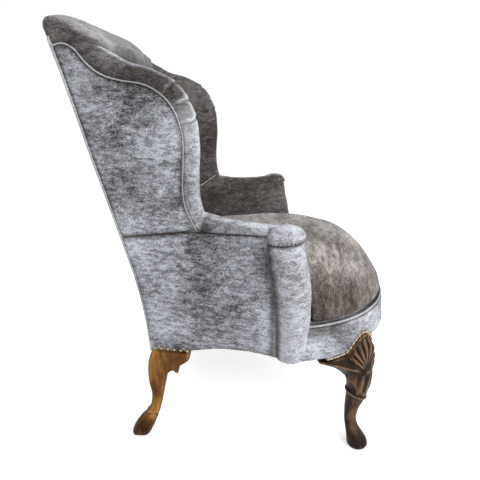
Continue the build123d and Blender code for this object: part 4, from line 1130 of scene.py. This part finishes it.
def nail_head(place, outward):
    """A round nail head that faces outwards."""
    way = np.array(outward, float) / np.linalg.norm(outward)
    side = np.cross(way, (0.3, 0.2, 0.9))
    side /= np.linalg.norm(side)
    up = np.cross(way, side)
    points, faces = [place + 0.8 * NAIL * way], []
    for step, (wide, high) in enumerate(NAIL_RINGS):
        now, last = 1 + NAIL_SIDES * step, 1 + NAIL_SIDES * (step - 1)
        for j in range(NAIL_SIDES):
            t = j * 2 * math.pi / NAIL_SIDES
            points.append(place + NAIL * (high * way + wide * (math.cos(t) * side + math.sin(t) * up)))
            k = (j + 1) % NAIL_SIDES
            faces.append((0, now + j, now + k) if step == 0 else (last + j, now + j, now + k, last + k))
    faces.append(tuple(now + j for j in range(NAIL_SIDES))[::-1])
    return np.array(points), faces


def on_border(aside, z, proud):
    """A place in front of the border's face, and the way out of it."""
    angle = LEG_TURN + aside / KNEE_RING
    out = np.array([math.cos(angle), -math.sin(angle), 0])
    return np.array([0, CENTRE_Y, z]) + out * (float(line(z, BORDER_FACE)) + proud), out


heads = [nail_head(*on_border(aside, z, 1.6)) for aside, z in HEM]
for count in range(REAR_NAILS):
    y = REAR_NAIL_Y - NAIL_SPACING * count
    place = np.array([float(panel_x(y, REAR_NAIL_Z)) + 2.5, y, REAR_NAIL_Z])
    heads.append(nail_head(place, (1, 0.175, -0.1)))
piece("nail_heads", both_sides(joined(*heads)), slot_finish["brass"], ["brass_nails"])
gimp = tube([on_border(aside, z - 1, 0.4)[0] for aside, z in curve_points(HEM, 5)], 2.6, 8)
piece("knee_gimp", both_sides(gimp), velvet_welt)


# Stage, light and camera
def seen(tree):
    """1 for rays that show the background: from the camera, mirrored or through glass."""
    path = tree.nodes.new("ShaderNodeLightPath")
    direct = maths(tree, "MAXIMUM", path.outputs["Is Camera Ray"], path.outputs["Is Glossy Ray"])
    return maths(tree, "MAXIMUM", direct, path.outputs["Is Transmission Ray"])


def area(name, place, aim, size, power):
    """A round, soft light."""
    data = bpy.data.lights.new(name, "AREA")
    data.shape = "DISK"
    data.size = size
    data.energy = power
    obj = bpy.data.objects.new(name, data)
    scene.collection.objects.link(obj)
    obj.location = place
    obj.rotation_mode = "QUATERNION"
    obj.rotation_quaternion = (Vector(aim) - Vector(place)).to_track_quat("-Z", "Y")


floor_mesh = bpy.data.meshes.new("floor")
floor_mesh.from_pydata([(-30, -30, 0), (30, -30, 0), (30, 30, 0), (-30, 30, 0)], [], [(0, 1, 2, 3)])
floor = bpy.data.objects.new("floor", floor_mesh)
scene.collection.objects.link(floor)
floor.location.z = -0.0005
pale_floor, tree, shader = new_material("pale_floor")
floor_stops = ((0.3, (0.9, 0.9, 0.9)), (0.7, (0.93, 0.93, 0.93)))
tree.links.new(colours(tree, noise(tree, (3, 3, 3)), floor_stops), shader.inputs["Base Color"])
tree.links.new(maths(tree, "MULTIPLY", seen(tree), 0.6), shader.inputs["Emission Strength"])
shader.inputs["Roughness"].default_value = 0.9
shader.inputs["Specular IOR Level"].default_value = 0.0
shader.inputs["Emission Color"].default_value = (1, 1, 1, 1)
floor_mesh.materials.append(pale_floor)

world = bpy.data.worlds.new("studio")
scene.world = world
world.use_nodes = True
sky = world.node_tree
background = sky.nodes["Background"]
strength = maths(sky, "ADD", maths(sky, "MULTIPLY", seen(sky), 0.55), 0.45)
background.inputs["Color"].default_value = (1, 1, 1, 1)
sky.links.new(strength, background.inputs["Strength"])

area("key", (-2.6, -1.6, 2.4), (0, 0, 0.5), 2.0, 75)
area("front", (-0.6, -3.2, 1.9), (0, -0.1, 0.5), 2.0, 40)
area("above", (0.3, 0.2, 3.4), (0, 0, 0.5), 2.5, 30)

camera = bpy.data.objects.new("camera", bpy.data.cameras.new("camera"))
scene.collection.objects.link(camera)
camera.data.sensor_width = 36.0
camera.data.lens = 33.375
camera.data.clip_start = 0.05
camera.location = (-1.2483, -0.023, 0.8916)
camera.rotation_mode = "QUATERNION"
camera.rotation_quaternion = Vector((0.9498, 0.0245, -0.3117)).to_track_quat("-Z", "Y")
scene.camera = camera
scene.view_settings.view_transform = "Standard"
